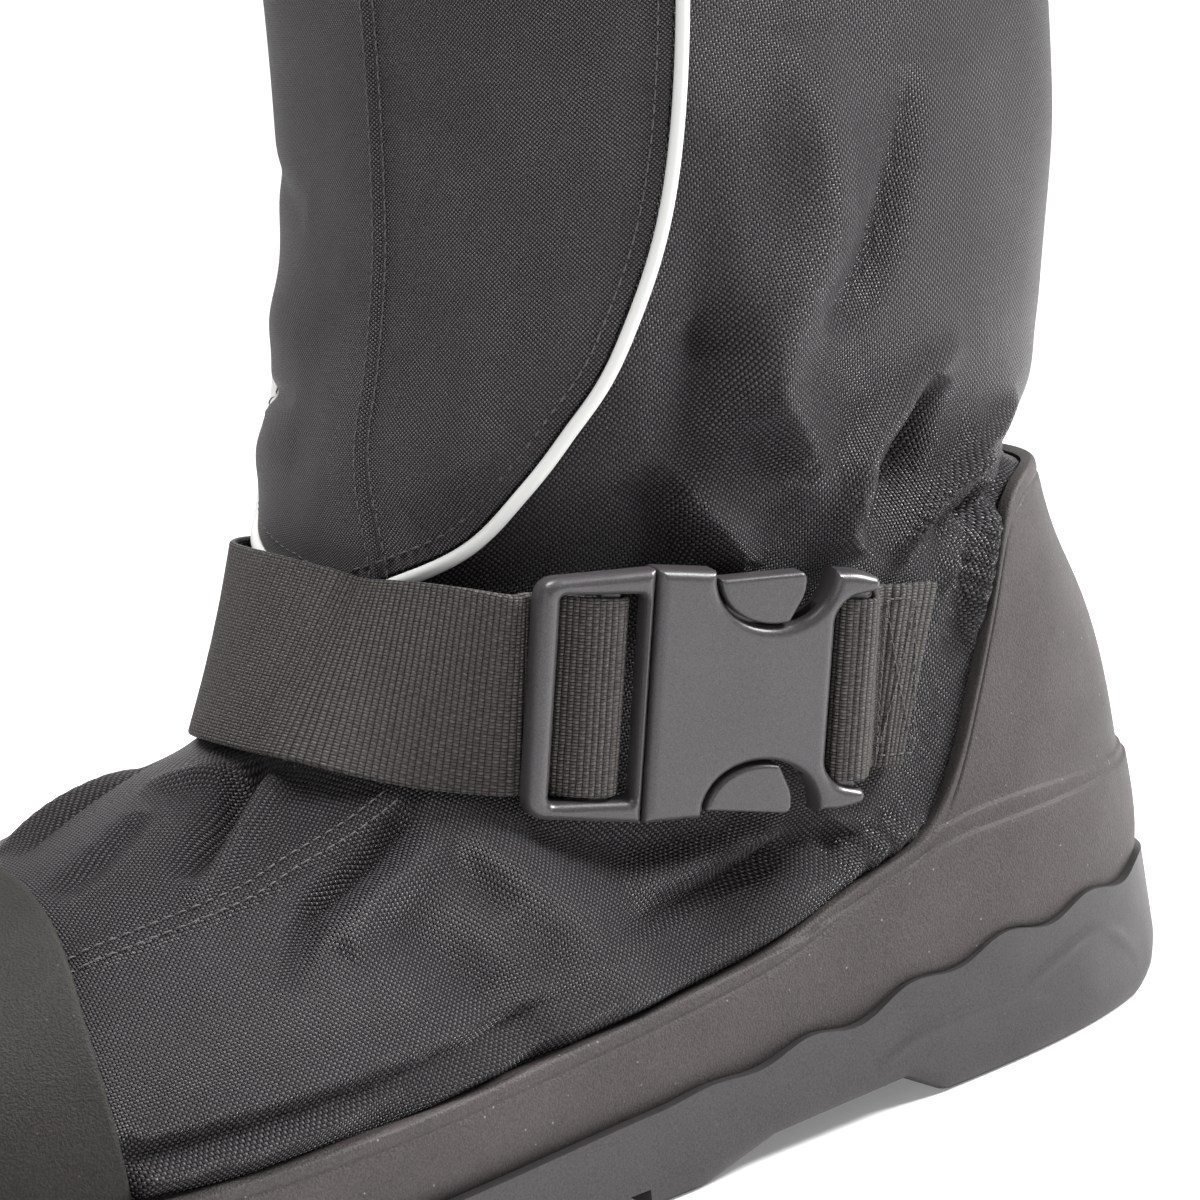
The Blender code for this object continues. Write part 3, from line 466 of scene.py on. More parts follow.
def make_outsole():
    plan, normal = even_outline(OUTLINE_SPACING)
    proud = GAP + RAND_THICK + OUTSOLE_PROUD
    bm = bmesh.new()
    rings = []
    # Each ring: share of the way up, and shares of the lower edge's rounding back and up
    shares = [(0.0, 1.0, 0.0), (0.0, 0.45, 0.10), (0.0, 0.12, 0.45), (0.0, 0.0, 1.0)]
    shares += [(share, 0.0, 1.0) for share in np.linspace(0.04, 1.0, 34)]
    for up, back, lift in shares:
        spread = plan + normal * (proud - back * OUTSOLE_EDGE)
        along = spread[:, 0] + HEEL_REST
        bottom = tread_line(along) + lift * OUTSOLE_EDGE
        top = np.minimum(wave_line(along) - GAP, feather(along) * 0.97)
        height = bottom + (top - bottom) * up
        spread = spread + normal * rib_height(along, height)[:, None]
        rings.append([bm.verts.new((*point, z)) for point, z in zip(spread, height)])
    count = len(plan)
    for low, high in zip(rings, rings[1:]):
        for k in range(count):
            bm.faces.new((low[k], low[(k + 1) % count], high[(k + 1) % count], high[k]))
    # Strips across the sole close its two ends
    far = count - 1
    for ring in (rings[0], rings[-1]):
        bm.faces.new((ring[0], ring[1], ring[far]))
        for k in range(1, count // 2 - 1):
            bm.faces.new((ring[k], ring[k + 1], ring[far - k], ring[far - k + 1]))
        bm.faces.new((ring[count // 2 - 1], ring[count // 2], ring[count // 2 + 1]))
    return solid("outsole_rubber", bm)


def lug_grooves():
    """Grooves across the tread: straight under the heel, swept to the toe under the forefoot."""
    bm = bmesh.new()
    heel = [(k * LUG_PITCH, 0, HEEL_GROOVE) for k in (-1.5, -0.5, 0.5, 1.5)]
    ahead = np.arange(GROOVES_START * LENGTH - HEEL_REST, GROOVES_END * LENGTH - HEEL_REST, LUG_PITCH)
    half = LUG_GROOVE / 2
    for place, sweep, reach in heel + [(x, LUG_SWEEP, GROOVE_REACH * BALL_WIDTH) for x in ahead]:
        line = [(place + sweep, -reach), (place, 0), (place + sweep, reach)]
        outline = [(x - half, y, BELOW) for x, y in line] + [(x + half, y, BELOW) for x, y in reversed(line)]
        prism(bm, outline, (0, 0, tread_line(place + HEEL_REST) + LUG_DEPTH - BELOW))
    return solid("lug_grooves", bm)


outsole = make_outsole()
cut(outsole, [lug_grooves()])
smooth(outsole)
rubber = moulded("outsole_rubber", (0.033, 0.029, 0.030), (0.16, 0.15, 0.15), 0.0004, 0.3, 0.16, 0.50,
                 0.00006, Coat_Weight=0.05, Coat_Roughness=0.4)
dress(outsole, rubber, "tread", "outsole")

# Moulded cup
# Midsole, rand and heel counter in one foamed moulding around the upper, with a pebbled matt skin.
# It thickens at a double ledge around the heel, and its top edge is rounded against the cloth.
COUNTER_THICK = 0.0028
COUNTER_RISE = 0.0875
RAND_RISE = 0.0108
STEP_RISE = 0.0225
LEDGE_EDGE = 0.00035
RIM_ROUND = 0.0012
RIM_BAND = 0.0046
FOOT_TUCK = 0.0003
RIM_LINE = 0.0032
RIM_LINE_WIDTH = 0.0005
RIM_LINE_DEPTH = 0.0004
# The top edge over the feather: along, share of the counter, share of the rand
TOP_EDGE = [
    (-0.060, 0.955, 0), (0.040, 0.955, 0), (0.080, 0.955, 0), (0.105, 0.930, 0), (0.125, 0.860, 0),
    (0.146, 0.700, 0), (0.165, 0.540, 0), (0.185, 0.385, 0), (0.205, 0.280, 0), (0.230, 0.205, 0.10),
    (0.280, 0.085, 0.75), (0.350, 0, 1.00), (0.500, 0, 0.95), (0.650, 0, 1.00), (0.800, 0, 1.15),
    (0.900, 0, 1.30), (1.000, 0, 1.55), (1.060, 0, 1.60),
]
# The ledge: along, share of STEP_RISE, and how far the second step lies under the first
STEP_EDGE = [
    (-0.06, 0.82, 0.0016), (0.05, 0.86, 0.0022), (0.15, 0.98, 0.0040), (0.21, 0.92, 0.0034),
    (0.30, 0.62, 0.0024), (0.40, 0.55, 0.0020), (1.06, 0.55, 0.0020),
]
# The worn ankle, at the front and at the back: how far from the origin that side starts, the length
# it fades in over, depth, height and width of the waist, and how far the shaft over it stands out
WAIST = [(0.055, 0.035, 0.0034, 0.124, 0.025, -0.0021), (0.015, 0.025, 0.0036, 0.104, 0.020, 0.0018)]
SHAFT_START = 0.150
SHAFT_FADE = 0.035
# Where the rays to the last start: the middle of the heel and of the toe, and their counts
HEEL_MIDDLE = (0.002, 0.0)
TOE_MIDDLE = (0.222, -0.006)
RAY_COUNTS = (110, 130, 120)


def top_edge(along):
    counter, rand = side_line(TOP_EDGE, along, 1), side_line(TOP_EDGE, along, 2)
    return feather(along) + np.maximum(COUNTER_RISE * counter + RAND_RISE * rand, RAND_RISE * 0.8)


def step_edge(along):
    return feather(along) + STEP_RISE * side_line(STEP_EDGE, along)


def last_tree():
    """The last as a fine mesh to cast rays at."""
    rows, columns = 420, 300
    station, turn = np.meshgrid(np.linspace(0, COLLAR, rows), np.arange(columns) / columns, indexing="ij")
    points = form(station, turn).reshape(-1, 3)
    row, column = np.indices((rows - 1, columns)).reshape(2, -1)
    low, high, after = row * columns, (row + 1) * columns, (column + 1) % columns
    faces = np.stack([low + column, low + after, high + after, high + column], -1)
    return BVHTree.FromPolygons(points.tolist(), faces.tolist())


LAST = last_tree()


def plan_rays():
    """Level rays from the middle line outward: around the heel, the outer side, the toe, the inner side."""
    heel, side, toe = RAY_COUNTS
    a, b = np.array(HEEL_MIDDLE), np.array(TOE_MIDDLE)
    share = np.arange(side)[:, None] / side
    angles = pi * 1.5 - pi * np.arange(heel) / heel
    starts, ways = [np.tile(a, (heel, 1))], [np.stack([np.cos(angles), np.sin(angles)], -1)]
    starts.append(a + (b - a) * share)
    ways.append(np.tile([0.0, 1.0], (side, 1)))
    angles = pi / 2 - pi * np.arange(toe) / toe
    starts.append(np.tile(b, (toe, 1)))
    ways.append(np.stack([np.cos(angles), np.sin(angles)], -1))
    starts.append(b + (a - b) * share)
    ways.append(np.tile([0.0, -1.0], (side, 1)))
    return np.concatenate(starts), np.concatenate(ways)


def cast(starts, ways, heights):
    """Where level rays at these heights meet the last. Heights are rows by rays."""
    points = np.empty((*heights.shape, 3))
    for row in range(heights.shape[0]):
        for k in range(heights.shape[1]):
            hit = LAST.ray_cast(Vector((*starts[k], heights[row, k])), Vector((*ways[k], 0)))[0]
            points[row, k] = hit if hit else points[row - 1, k]
    return points


def grid_normals(points):
    """Normals of a grid whose columns run around the shoe."""
    around = np.roll(points, -1, axis=1) - np.roll(points, 1, axis=1)
    return unit(np.cross(np.gradient(points, axis=0), around))


def grid_piece(name, points, closed=(False, True), marks=None, keep=None):
    """A mesh over a grid of points. Marks are the cloth's own flat lengths in metres for each part of
    the columns, one column longer where the grid is closed around."""
    rows, columns = points.shape[:2]
    row, column = np.indices((rows - (not closed[0]), columns - (not closed[1])))
    if keep is not None:
        row, column = row[keep], column[keep]
    row, column = row.ravel(), column.ravel()
    low, high, after = row * columns, (row + 1) % rows * columns, (column + 1) % columns
    faces = np.stack([low + column, high + column, high + after, low + after], -1)
    used, renumbered = np.unique(faces, return_inverse=True)
    mesh = bpy.data.meshes.new(name)
    mesh.from_pydata(points.reshape(-1, 3)[used].tolist(), [], renumbered.reshape(faces.shape).tolist())
    if marks is not None:
        part = column * len(marks) // columns
        places = ((row, column), (row + 1, column), (row + 1, column + 1), (row, column + 1))
        corners = [np.array(marks)[part, i, k] for i, k in places]
        layer = mesh.uv_layers.new(name="cloth")
        layer.uv.foreach_set("vector", np.stack(corners, 1).astype(np.float32).ravel())
    mesh.validate()
    mesh.shade_smooth()
    return object_of(name, mesh)


def block(low, high, count, ends=True):
    """Even steps between two lines, rows by rays."""
    share = np.linspace(0, 1, count) if ends else np.linspace(0, 1, count + 2)[1:-1]
    return low + (high - low) * share[:, None]


def rounded(depth, radius):
    """The height of a rounded edge at a depth behind it."""
    depth = np.clip(depth, 0, radius)
    return np.sqrt(depth * (2 * radius - depth))


def waist(points):
    """How far the worn ankle and the shaft over it stand out from the last."""
    x, z = points[..., 0], points[..., 2]
    shaft = smooth_step((z - SHAFT_START) / SHAFT_FADE)
    total = 0
    for way, (start, fade, depth, height, width, fullness) in zip((1, -1), WAIST):
        side = smooth_step((way * x - start) / fade)
        total = total + side * (fullness * shaft - depth * bell(z - height, width))
    return total


def make_cup():
    starts, ways = plan_rays()
    middle = cast(starts, ways, np.full((1, len(starts)), SOLE_HEIGHT))[0]
    along = middle[:, 0] + HEEL_REST + ways[:, 0] * (GAP + RAND_THICK)
    foot = wave_line(along)
    for _ in range(4):
        at_top = cast(starts, ways, top_edge(along)[None])[0]
        along = (along + at_top[:, 0] + HEEL_REST + ways[:, 0] * COUNTER_THICK) / 2
    top = top_edge(along)
    side = middle[:, 0] + HEEL_REST
    first_step = step_edge(side)
    second_step = first_step - side_line(STEP_EDGE, side, 2)
    edge = LEDGE_EDGE
    upper_step = np.minimum(first_step, top - RIM_ROUND - 3 * edge)
    lower_step = np.minimum(second_step, upper_step - 3 * edge)
    arc = RIM_ROUND * (1 - np.cos(np.linspace(0, pi / 2, 7)[1:]))[:, None]
    band = np.maximum(top - RIM_BAND, upper_step + 2 * edge)
    heights = np.concatenate([
        block(foot, foot + edge, 3), block(foot + edge, lower_step - edge, 12, ends=False),
        block(lower_step - edge, lower_step + edge, 5),
        block(lower_step + edge, upper_step - edge, 3, ends=False),
        block(upper_step - edge, upper_step + edge, 5), block(upper_step + edge, band, 14, ends=False),
        block(band, top - RIM_ROUND, 11, ends=False), top - arc[::-1],
    ])
    base = cast(starts, ways, heights)
    normal = grid_normals(base)
    steps = sum(smooth_step((step + edge - heights) / (2 * edge)) for step in (first_step, second_step)) / 2
    thick = GAP + COUNTER_THICK + (RAND_THICK - COUNTER_THICK) * steps
    thick -= FOOT_TUCK * (1 - smooth_step((heights - foot) / edge))
    thick -= RIM_ROUND - rounded(top - heights, RIM_ROUND)
    thick -= RIM_LINE_DEPTH * bell(top - heights - RIM_LINE, RIM_LINE_WIDTH)
    base = base + normal * waist(base)[..., None]
    outside = base + normal * thick[..., None]
    inside = (base + normal * GAP)[[-1, -8, 2, 0]]
    return grid_piece("moulded_cup", np.concatenate([outside, inside]), closed=(True, True))


cup = make_cup()
moulding = moulded("moulding", (0.046, 0.037, 0.037), (0.30, 0.28, 0.26), 0.00045, 0.8, 0.14, 0.62, 0.00022)
smooth(cup, radians(50))
dress(cup, moulding, "moulding", "midsole_cup")

# Insole
# A loose flat footbed of grey felt inside the upper, slightly dished, with a rounded edge.
WALL = 0.0018
INSOLE_THICK = 0.0035
INSOLE_DISH = 0.0012


def make_insole():
    starts, ways = plan_rays()
    level = np.full((1, len(starts)), SOLE_HEIGHT)
    for _ in range(3):
        edge = cast(starts, ways, level)[0]
        level = (feather(edge[:, 0] + HEEL_REST) + GAP + INSOLE_THICK / 2)[None]
    edge = edge - np.column_stack([ways, np.zeros(len(ways))]) * (WALL + 3 * GAP)
    middle = np.column_stack([starts, edge[:, 2]])
    rows = []
    for share, lift in ((1.0, 0.0), (1.0, 0.74), (0.997, 0.90), (0.988, 1.0)):
        rows.append((share, lift * INSOLE_THICK))
    rows += [(share, INSOLE_THICK - INSOLE_DISH * (1 - share**2)) for share in np.linspace(0.95, 0.0, 12)]
    points = []
    for share, lift in rows:
        ring = middle + (edge - middle) * share
        ring[:, 2] = feather(ring[:, 0] + HEEL_REST) + GAP + lift
        points.append(ring)
    return grid_piece("insole_felt", np.array(points))


def make_felt(name, colour, fibre, roughness):
    material, tree, shader = new_material(name, Sheen_Weight=0.25, Sheen_Roughness=0.6)
    place = add_node(tree, "TexCoord").outputs["Object"]
    fibres = noise(tree, place, 1 / fibre, 5.0, 0.7)[0]
    tint = vector_maths(tree, "SCALE", colour, ramp(tree, fibres, 0.6, 1.5, 0.3, 0.7))
    tree.links.new(tint, shader.inputs["Base Color"])
    tree.links.new(ramp(tree, fibres, roughness, 1.0), shader.inputs["Roughness"])
    relief(tree, shader, fibres, 0.0004)
    return material


insole = make_insole()
dress(insole, make_felt("insole_felt", (0.050, 0.050, 0.055), 0.0011, 0.85), "footbed", "insole")

# Upper
# Vamp and shaft in coated nylon, woven plain from thick shiny yarn and sewn over the last, with a
# felled seam along each side of the vamp. It is worn in: it rolls over the moulding's edge, bunches
# at the instep and folds away from the buckle's horn. A plain lining hangs inside.
HEM_HEIGHT = 0.024
HEM_STEP = 0.0008
HEM_EDGE = 0.04
STRAP_RISE = 0.0031
YARN = 0.00057
# The roll of cloth along the moulding: height over its edge, width and rise of each ridge and trough
ROLLS = [(0.0034, 0.0028, 0.0050), (0.0078, 0.0016, -0.0012), (0.0108, 0.0028, 0.0022)]
# Behind the heel the cloth is tucked in over the counter instead, and bulges above the tuck
NOTCH_DEPTH = 0.0030
NOTCH_WIDTH = 0.0032
# The bulge over the tuck: its share of the depth, its height and its width in NOTCH_WIDTHs
BULGE_SHARE = 0.7
BULGE_PLACE = 5
BULGE_WIDTH = 2.4
HEEL_START = 0.001
HEEL_FADE = 0.016
# Where the cloth leaves the moulding: how far under its edge, and over what height it is free
TUCK_START = 0.0018
TUCK_FADE = 0.0032
TOE_CAP_FADE = 0.004
HEM_START = COLLAR - HEM_HEIGHT / (SECTIONS[-1][1] - SECTIONS[-2][1])
# The toe cap's rear edge, from the ridge down: along, height as a share of the instep
TOE_EDGE = [
    (0.712, 1.05), (0.722, 0.84), (0.728, 0.77), (0.739, 0.67), (0.745, 0.60), (0.750, 0.45),
    (0.752, 0.10),
]
# The strap over the last, and on under the buckle: turn, the sections under its lower and its upper
# edge, and the shares of STRAP_RISE that they stand over their seats
STRAP_LINE = [
    (0.778, 10.15, 12.00, 0.00, 0.00), (0.757, 10.05, 11.98, 0.05, 0.05), (0.735, 9.85, 11.92, 0.15, 0.15),
    (0.710, 9.55, 11.85, 0.30, 0.30), (0.680, 9.20, 11.70, 0.45, 0.45), (0.650, 8.75, 11.50, 0.60, 0.55),
    (0.614, 8.20, 11.35, 0.55, 0.90), (0.580, 7.70, 11.25, 0.40, 1.20), (0.540, 7.15, 11.25, 0.20, 1.40),
    (0.500, 6.88, 11.30, 0.20, 1.50), (0.460, 6.88, 11.20, 0.50, 1.30), (0.420, 7.05, 11.15, 1.10, 1.15),
]
UNDER_BUCKLE = [
    (0.370, 7.45, 11.35), (0.325, 8.05, 11.70), (0.285, 8.70, 11.90), (0.244, 9.60, 12.00),
    (0.200, 10.10, 12.00),
]
# Over how much of a section at its lower edge, at its upper edge, and of a turn at its ends the
# strap's press on the cloth fades, and what is left of the folds under it
PRESS_FADE = (0.35, 0.25, 0.012)
PRESSED_SHARE = 0.4
PRESSED_RISE = 0.0004
# Folds on the outer side, as soft ridges and troughs: height, width, then sections and turns along.
# All heights are taken FOLD_SHARE times. The first MIRRORED_FOLDS of them also lie on the inner
# side, lower and a little nearer to the toe.
FOLD_SHARE = 1.25
MIRRORED_FOLDS = 17
MIRRORED_SHARE = 0.6
MIRRORED_DROP = 0.15
OUTER_FOLDS = [
    (0.0049, 0.0070, [(16.6, 0.262), (15.81, 0.253), (14.77, 0.267), (13.87, 0.254), (12.25, 0.246)]),
    (-0.0026, 0.0065, [(16.2, 0.300), (15.2, 0.296), (14.3, 0.290), (13.5, 0.278)]),
    (-0.0033, 0.0038, [(16.3, 0.222), (15.38, 0.240), (15.02, 0.256)]),
    (0.0044, 0.0042, [(14.80, 0.185), (13.85, 0.225), (12.86, 0.236), (12.25, 0.243)]),
    (-0.0062, 0.0040, [(14.50, 0.196), (13.31, 0.208), (12.37, 0.236)]),
    (0.0028, 0.0024, [(14.20, 0.122), (13.90, 0.145), (13.26, 0.175), (12.25, 0.224)]),
    (0.0021, 0.0020, [(13.55, 0.128), (13.03, 0.188), (12.19, 0.222)]),
    (-0.0039, 0.0026, [(13.10, 0.110), (12.78, 0.170), (12.42, 0.203)]),
    (-0.0029, 0.0042, [(13.25, 0.310), (12.60, 0.299), (12.05, 0.291)]),
    (0.0033, 0.0044, [(12.95, 0.294), (12.50, 0.281), (12.05, 0.270)]),
    (-0.0014, 0.0040, [(15.15, 0.302), (14.80, 0.291)]),
    (-0.0026, 0.0036, [(14.10, 0.268), (13.70, 0.260), (13.20, 0.252)]),
    (0.0033, 0.0075, [(7.50, 0.350), (7.65, 0.300), (7.60, 0.235)]),
    (-0.0025, 0.0060, [(6.60, 0.330), (6.90, 0.280), (6.95, 0.230)]),
    (-0.0026, 0.0050, [(8.10, 0.330), (8.45, 0.285), (9.10, 0.262)]),
    (-0.0054, 0.0027, [(9.48, 0.246), (9.19, 0.250), (8.88, 0.254), (8.42, 0.254), (7.80, 0.257)]),
    (0.0034, 0.0030, [(9.40, 0.256), (8.98, 0.264), (8.55, 0.269), (8.10, 0.272)]),
    (-0.0049, 0.0034, [(6.95, 0.462), (6.26, 0.436), (5.50, 0.404)]),
    (0.0033, 0.0030, [(6.95, 0.445), (6.26, 0.417), (5.45, 0.388)]),
    (-0.0018, 0.0018, [(6.50, 0.545), (5.52, 0.521), (4.85, 0.497)]),
    (0.0021, 0.0026, [(6.40, 0.560), (5.50, 0.538), (4.85, 0.515)]),
    (0.0020, 0.0034, [(6.00, 0.500), (6.35, 0.476), (6.70, 0.470)]),
    (-0.0044, 0.0024, [(7.75, 0.370), (7.15, 0.362), (6.41, 0.354), (6.13, 0.347), (5.73, 0.319)]),
    (0.0034, 0.0036, [(7.61, 0.352), (7.20, 0.344), (6.54, 0.336), (6.20, 0.322)]),
    (-0.0016, 0.0036, [(7.58, 0.350), (7.40, 0.325), (7.40, 0.295)]),
    (-0.0018, 0.0030, [(5.70, 0.470), (5.20, 0.452), (4.75, 0.440)]),
]
# Folds at the front of the shaft and over the instep
FRONT_FOLDS = [
    (-0.0016, 0.0022, [(14.35, 0.620), (14.45, 0.560), (14.42, 0.512)]),
    (0.0013, 0.0070, [(15.30, 0.600), (15.20, 0.540), (15.05, 0.500)]),
    (0.0012, 0.0060, [(13.45, 0.610), (13.50, 0.560), (13.60, 0.505)]),
    (-0.0010, 0.0035, [(16.20, 0.600), (16.05, 0.550), (15.90, 0.515)]),
    (-0.0009, 0.0080, [(15.60, 0.425), (14.60, 0.420), (13.40, 0.405)]),
    (0.0008, 0.0070, [(14.30, 0.390), (13.40, 0.400), (12.50, 0.420)]),
    (-0.0012, 0.0020, [(6.60, 0.560), (6.35, 0.590), (6.20, 0.625)]),
]
# The felled seam along the outer side of the vamp, which has its mirror image on the inner side
VAMP_SEAM = [(7.55, 0.380), (6.41, 0.380), (5.80, 0.377), (5.19, 0.382), (4.60, 0.389), (4.20, 0.396)]
SEAM_WIDTH = 0.0021
SEAM_RISE = 0.0008
SEAM_EDGE = 0.0004
LINING_GAP = 0.0004
LINING_SHARE = 0.3


def hem_step(station):
    return HEM_STEP * np.clip((station - HEM_START) / HEM_EDGE, 0, 1)


def line_on_last(places, count):
    """A smooth line of points on the last through sections and turns."""
    return form(*curve(places, count).T)


def from_line(points, line, reach):
    """Distance from points to a line, and the share along it of the nearest place. Far points get reach."""
    low, high = line.min(0) - reach, line.max(0) + reach
    near = ((points > low) & (points < high)).all(-1)
    distance, share = np.full(points.shape[:-1], reach), np.zeros(points.shape[:-1])
    close = points[near]
    starts, steps = line[:-1], np.diff(line, axis=0)
    part = ((close[:, None] - starts) * steps).sum(-1) / (steps**2).sum(-1)
    part = np.clip(part, 0, 1)
    away = np.linalg.norm(close[:, None] - (starts + steps * part[..., None]), axis=-1)
    best = away.argmin(1)
    rows = np.arange(len(close))
    distance[near] = away[rows, best]
    share[near] = (best + part[rows, best]) / len(steps)
    return distance, share


def fold_height(points):
    """The listed folds, summed over points of the last."""
    folds = list(OUTER_FOLDS) + list(FRONT_FOLDS)
    for height, width, places in OUTER_FOLDS[:MIRRORED_FOLDS]:
        folds.append((height * MIRRORED_SHARE, width, [(s - MIRRORED_DROP, 1 - t) for s, t in places]))
    total = np.zeros(points.shape[:-1])
    for height, width, places in folds:
        distance, share = from_line(points, line_on_last(places, 24), 3.2 * width)
        fade = np.sin(pi * np.clip(share, 0, 1)) ** 0.8
        total += FOLD_SHARE * height * fade * bell(distance, width)
    return total


def behind_toe_edge(points):
    """How far points lie behind the toe cap's rear edge."""
    along, height = curve(TOE_EDGE, 60)[::-1].T
    return np.interp(points[..., 2] / INSTEP_HEIGHT, height, along) * LENGTH - HEEL_REST - points[..., 0]


def strap_mask(station, turn):
    """1 under the strap and the buckle, 0 well clear of them."""
    turns, lows, tops = np.array([row[:3] for row in STRAP_LINE] + UNDER_BUCKLE)[::-1].T
    low, top = np.interp(turn, turns, lows), np.interp(turn, turns, tops)
    low_fade, top_fade, end_fade = PRESS_FADE
    inside = np.minimum((station - low) / low_fade, (top - station) / top_fade) + 0.5
    ends = np.minimum(turn - turns[0], turns[-1] - turn) / end_fade + 1
    return smooth_step(inside) * smooth_step(ends)


def cloth_rise(station, turn, points):
    """How far the cloth stands out from the last: folds, the roll over the moulding, seams and hem."""
    station, turn = np.broadcast_arrays(station, turn)
    along = points[..., 0] + HEEL_REST
    edge = top_edge(along)
    slope = (top_edge(along + 0.001) - top_edge(along - 0.001)) / 0.002
    above = (points[..., 2] - edge) / np.sqrt(1 + slope**2)
    behind = smooth_step((-HEEL_START - points[..., 0]) / HEEL_FADE)
    toe = smooth_step(behind_toe_edge(points) / TOE_CAP_FADE)
    roll = sum(height * bell(above - place, width) for place, width, height in ROLLS)
    bulge = BULGE_SHARE * bell(above - BULGE_PLACE * NOTCH_WIDTH, BULGE_WIDTH * NOTCH_WIDTH)
    notch = bulge - bell(above - NOTCH_WIDTH, NOTCH_WIDTH)
    folds = fold_height(points)
    seams = np.zeros(folds.shape)
    for mirrored in (False, True):
        line = line_on_last([(s, 1 - t if mirrored else t) for s, t in VAMP_SEAM], 60)
        distance = from_line(points, line, 4 * SEAM_WIDTH)[0]
        seams += SEAM_RISE * smooth_step((SEAM_WIDTH + SEAM_EDGE - distance) / (2 * SEAM_EDGE))
    rise = (roll * (1 - behind) + NOTCH_DEPTH * notch * behind + folds + seams) * toe
    rise *= smooth_step((above + TUCK_START) / TUCK_FADE)
    pressed = strap_mask(station, turn)
    rise = rise * (1 - pressed) + np.minimum(rise * PRESSED_SHARE, PRESSED_RISE) * pressed
    return rise + waist(points) + hem_step(station)


def cloth(station, turn, lift=0.0):
    """A point of the cloth's outer face, moved out by lift."""
    points = form(station, turn)
    rise = cloth_rise(np.asarray(station, float), np.asarray(turn, float), points)
    return points + outward(station, turn) * (rise + lift)[..., None]


def flat_marks(stations, turns, side):
    """Flat lengths of cloth over a grid: each section is rolled out from the middle of one side."""
    middle = 0.25 if side > 0 else 0.75
    station, turn = np.meshgrid(stations, turns, indexing="ij")
    points = form(station, turn)
    length = run_along(np.moveaxis(points, 1, 0)).T
    start = np.array([np.interp(middle, turns, row) for row in length])
    table = spline(SECTIONS, stations)
    way = unit(np.stack([table[:, 0] - table[:, 2], table[:, 1] - table[:, 3]], -1))
    centre = form(stations, middle)[:, [0, 2]]
    rolled = (length - start[:, None])[..., None] * way[:, None] * side
    return centre[:, None] + rolled


def make_upper():
    stations = np.concatenate([
        np.linspace(0.03, 4.3, 70), np.linspace(4.3, 16, 262)[1:], np.linspace(16, HEM_START, 20)[1:],
        [HEM_START + HEM_EDGE / 2], np.linspace(HEM_START + HEM_EDGE, COLLAR, 8),
    ])
    count = 252
    turns = np.arange(count) / count
    station, turn = np.meshgrid(stations, turns, indexing="ij")
    points = cloth(station, turn)
    normal = outward(COLLAR, turns)
    radius = (WALL + HEM_STEP) / 2
    rim = []
    for angle in np.linspace(0, pi, 7)[1:]:
        rim.append(points[-1] - normal * radius * (1 - cos(angle)) + [0, 0, radius * sin(angle)])
    rim.append(rim[-1] - [0, 0, HEM_HEIGHT * 0.5])
    rim.append(rim[-2] - [0, 0, HEM_HEIGHT])
    points = np.concatenate([points, rim])
    over_the_rim = (0.0004, 0.0008, 0.0013, 0.0018, 0.0022, 0.0026, 0.0146, 0.0266)
    marks = []
    for side in (1, -1):
        flat = flat_marks(stations, np.append(turns, 1.0), side)
        marks.append(np.concatenate([flat, [flat[-1] + [0, step] for step in over_the_rim]]))
    clear = points[:-1, :, 2] > (feather(points[..., 0] + HEEL_REST) - 0.002)[:-1]
    return grid_piece("upper_cloth", points, marks=marks, keep=clear)


def make_lining():
    stations = np.linspace(0.25, COLLAR - 0.15, 300)
    turns = np.arange(240) / 240
    station, turn = np.meshgrid(stations, turns, indexing="ij")
    points = form(station, turn)
    rise = cloth_rise(station, turn, points)
    depth = np.minimum(LINING_SHARE * rise, rise) - WALL - LINING_GAP
    points = points + outward(station, turn) * depth[..., None]
    clear = points[:-1, :, 2] > (feather(points[..., 0] + HEEL_REST) + 2 * GAP)[:-1]
    marks = [flat_marks(stations, np.append(turns, 1.0), side)[:, ::-1] for side in (-1, 1)]
    return grid_piece("upper_lining", points[:, ::-1], marks=marks, keep=clear[:, ::-1])


def make_weave():
    """Plain weave of round yarn: height, a mask of the warp, and a mask of the gaps between yarns for their
    painted shade.
    """
    tree, ins, outs = new_group("plain_weave", [
        ("Marks", "Vector", None), ("Pitch", "Float", 0.0007), ("Drift", "Float", 0.0011),
    ], [("Height", "Float"), ("Warp", "Float"), ("Gap", "Float")])
    drift = vector_maths(tree, "SUBTRACT", noise(tree, ins["Marks"], 90.0, 1.0)[1], (0.5, 0.5, 0.5))
    place = vector_maths(tree, "ADD", ins["Marks"], vector_maths(tree, "SCALE", drift, ins["Drift"]))
    parts = add_node(tree, "SeparateXYZ", None, Vector=place).outputs
    u, v = [maths(tree, "DIVIDE", parts[k], ins["Pitch"]) for k in (0, 1)]
    cells = maths(tree, "ADD", maths(tree, "FLOOR", u), maths(tree, "FLOOR", v))
    warp = maths(tree, "ABSOLUTE", maths(tree, "MODULO", cells, 2.0))
    waves = [maths(tree, "SINE", maths(tree, "MULTIPLY", part, pi)) for part in (u, v)]
    across, along = [maths(tree, "ABSOLUTE", wave) for wave in waves]
    warp_top = maths(tree, "MULTIPLY", maths(tree, "POWER", across, 0.45), maths(tree, "POWER", along, 0.9))
    weft_top = maths(tree, "MULTIPLY", maths(tree, "POWER", across, 0.9), maths(tree, "POWER", along, 0.45))
    height = add_node(tree, "Mix", None, in0=warp, in2=weft_top, in3=warp_top).outputs[0]
    tree.links.new(height, outs["Height"])
    tree.links.new(warp, outs["Warp"])
    tree.links.new(ramp(tree, height, 1.0, 0.0, 0.05, 0.5), outs["Gap"])
    return tree


WEAVE = make_weave()


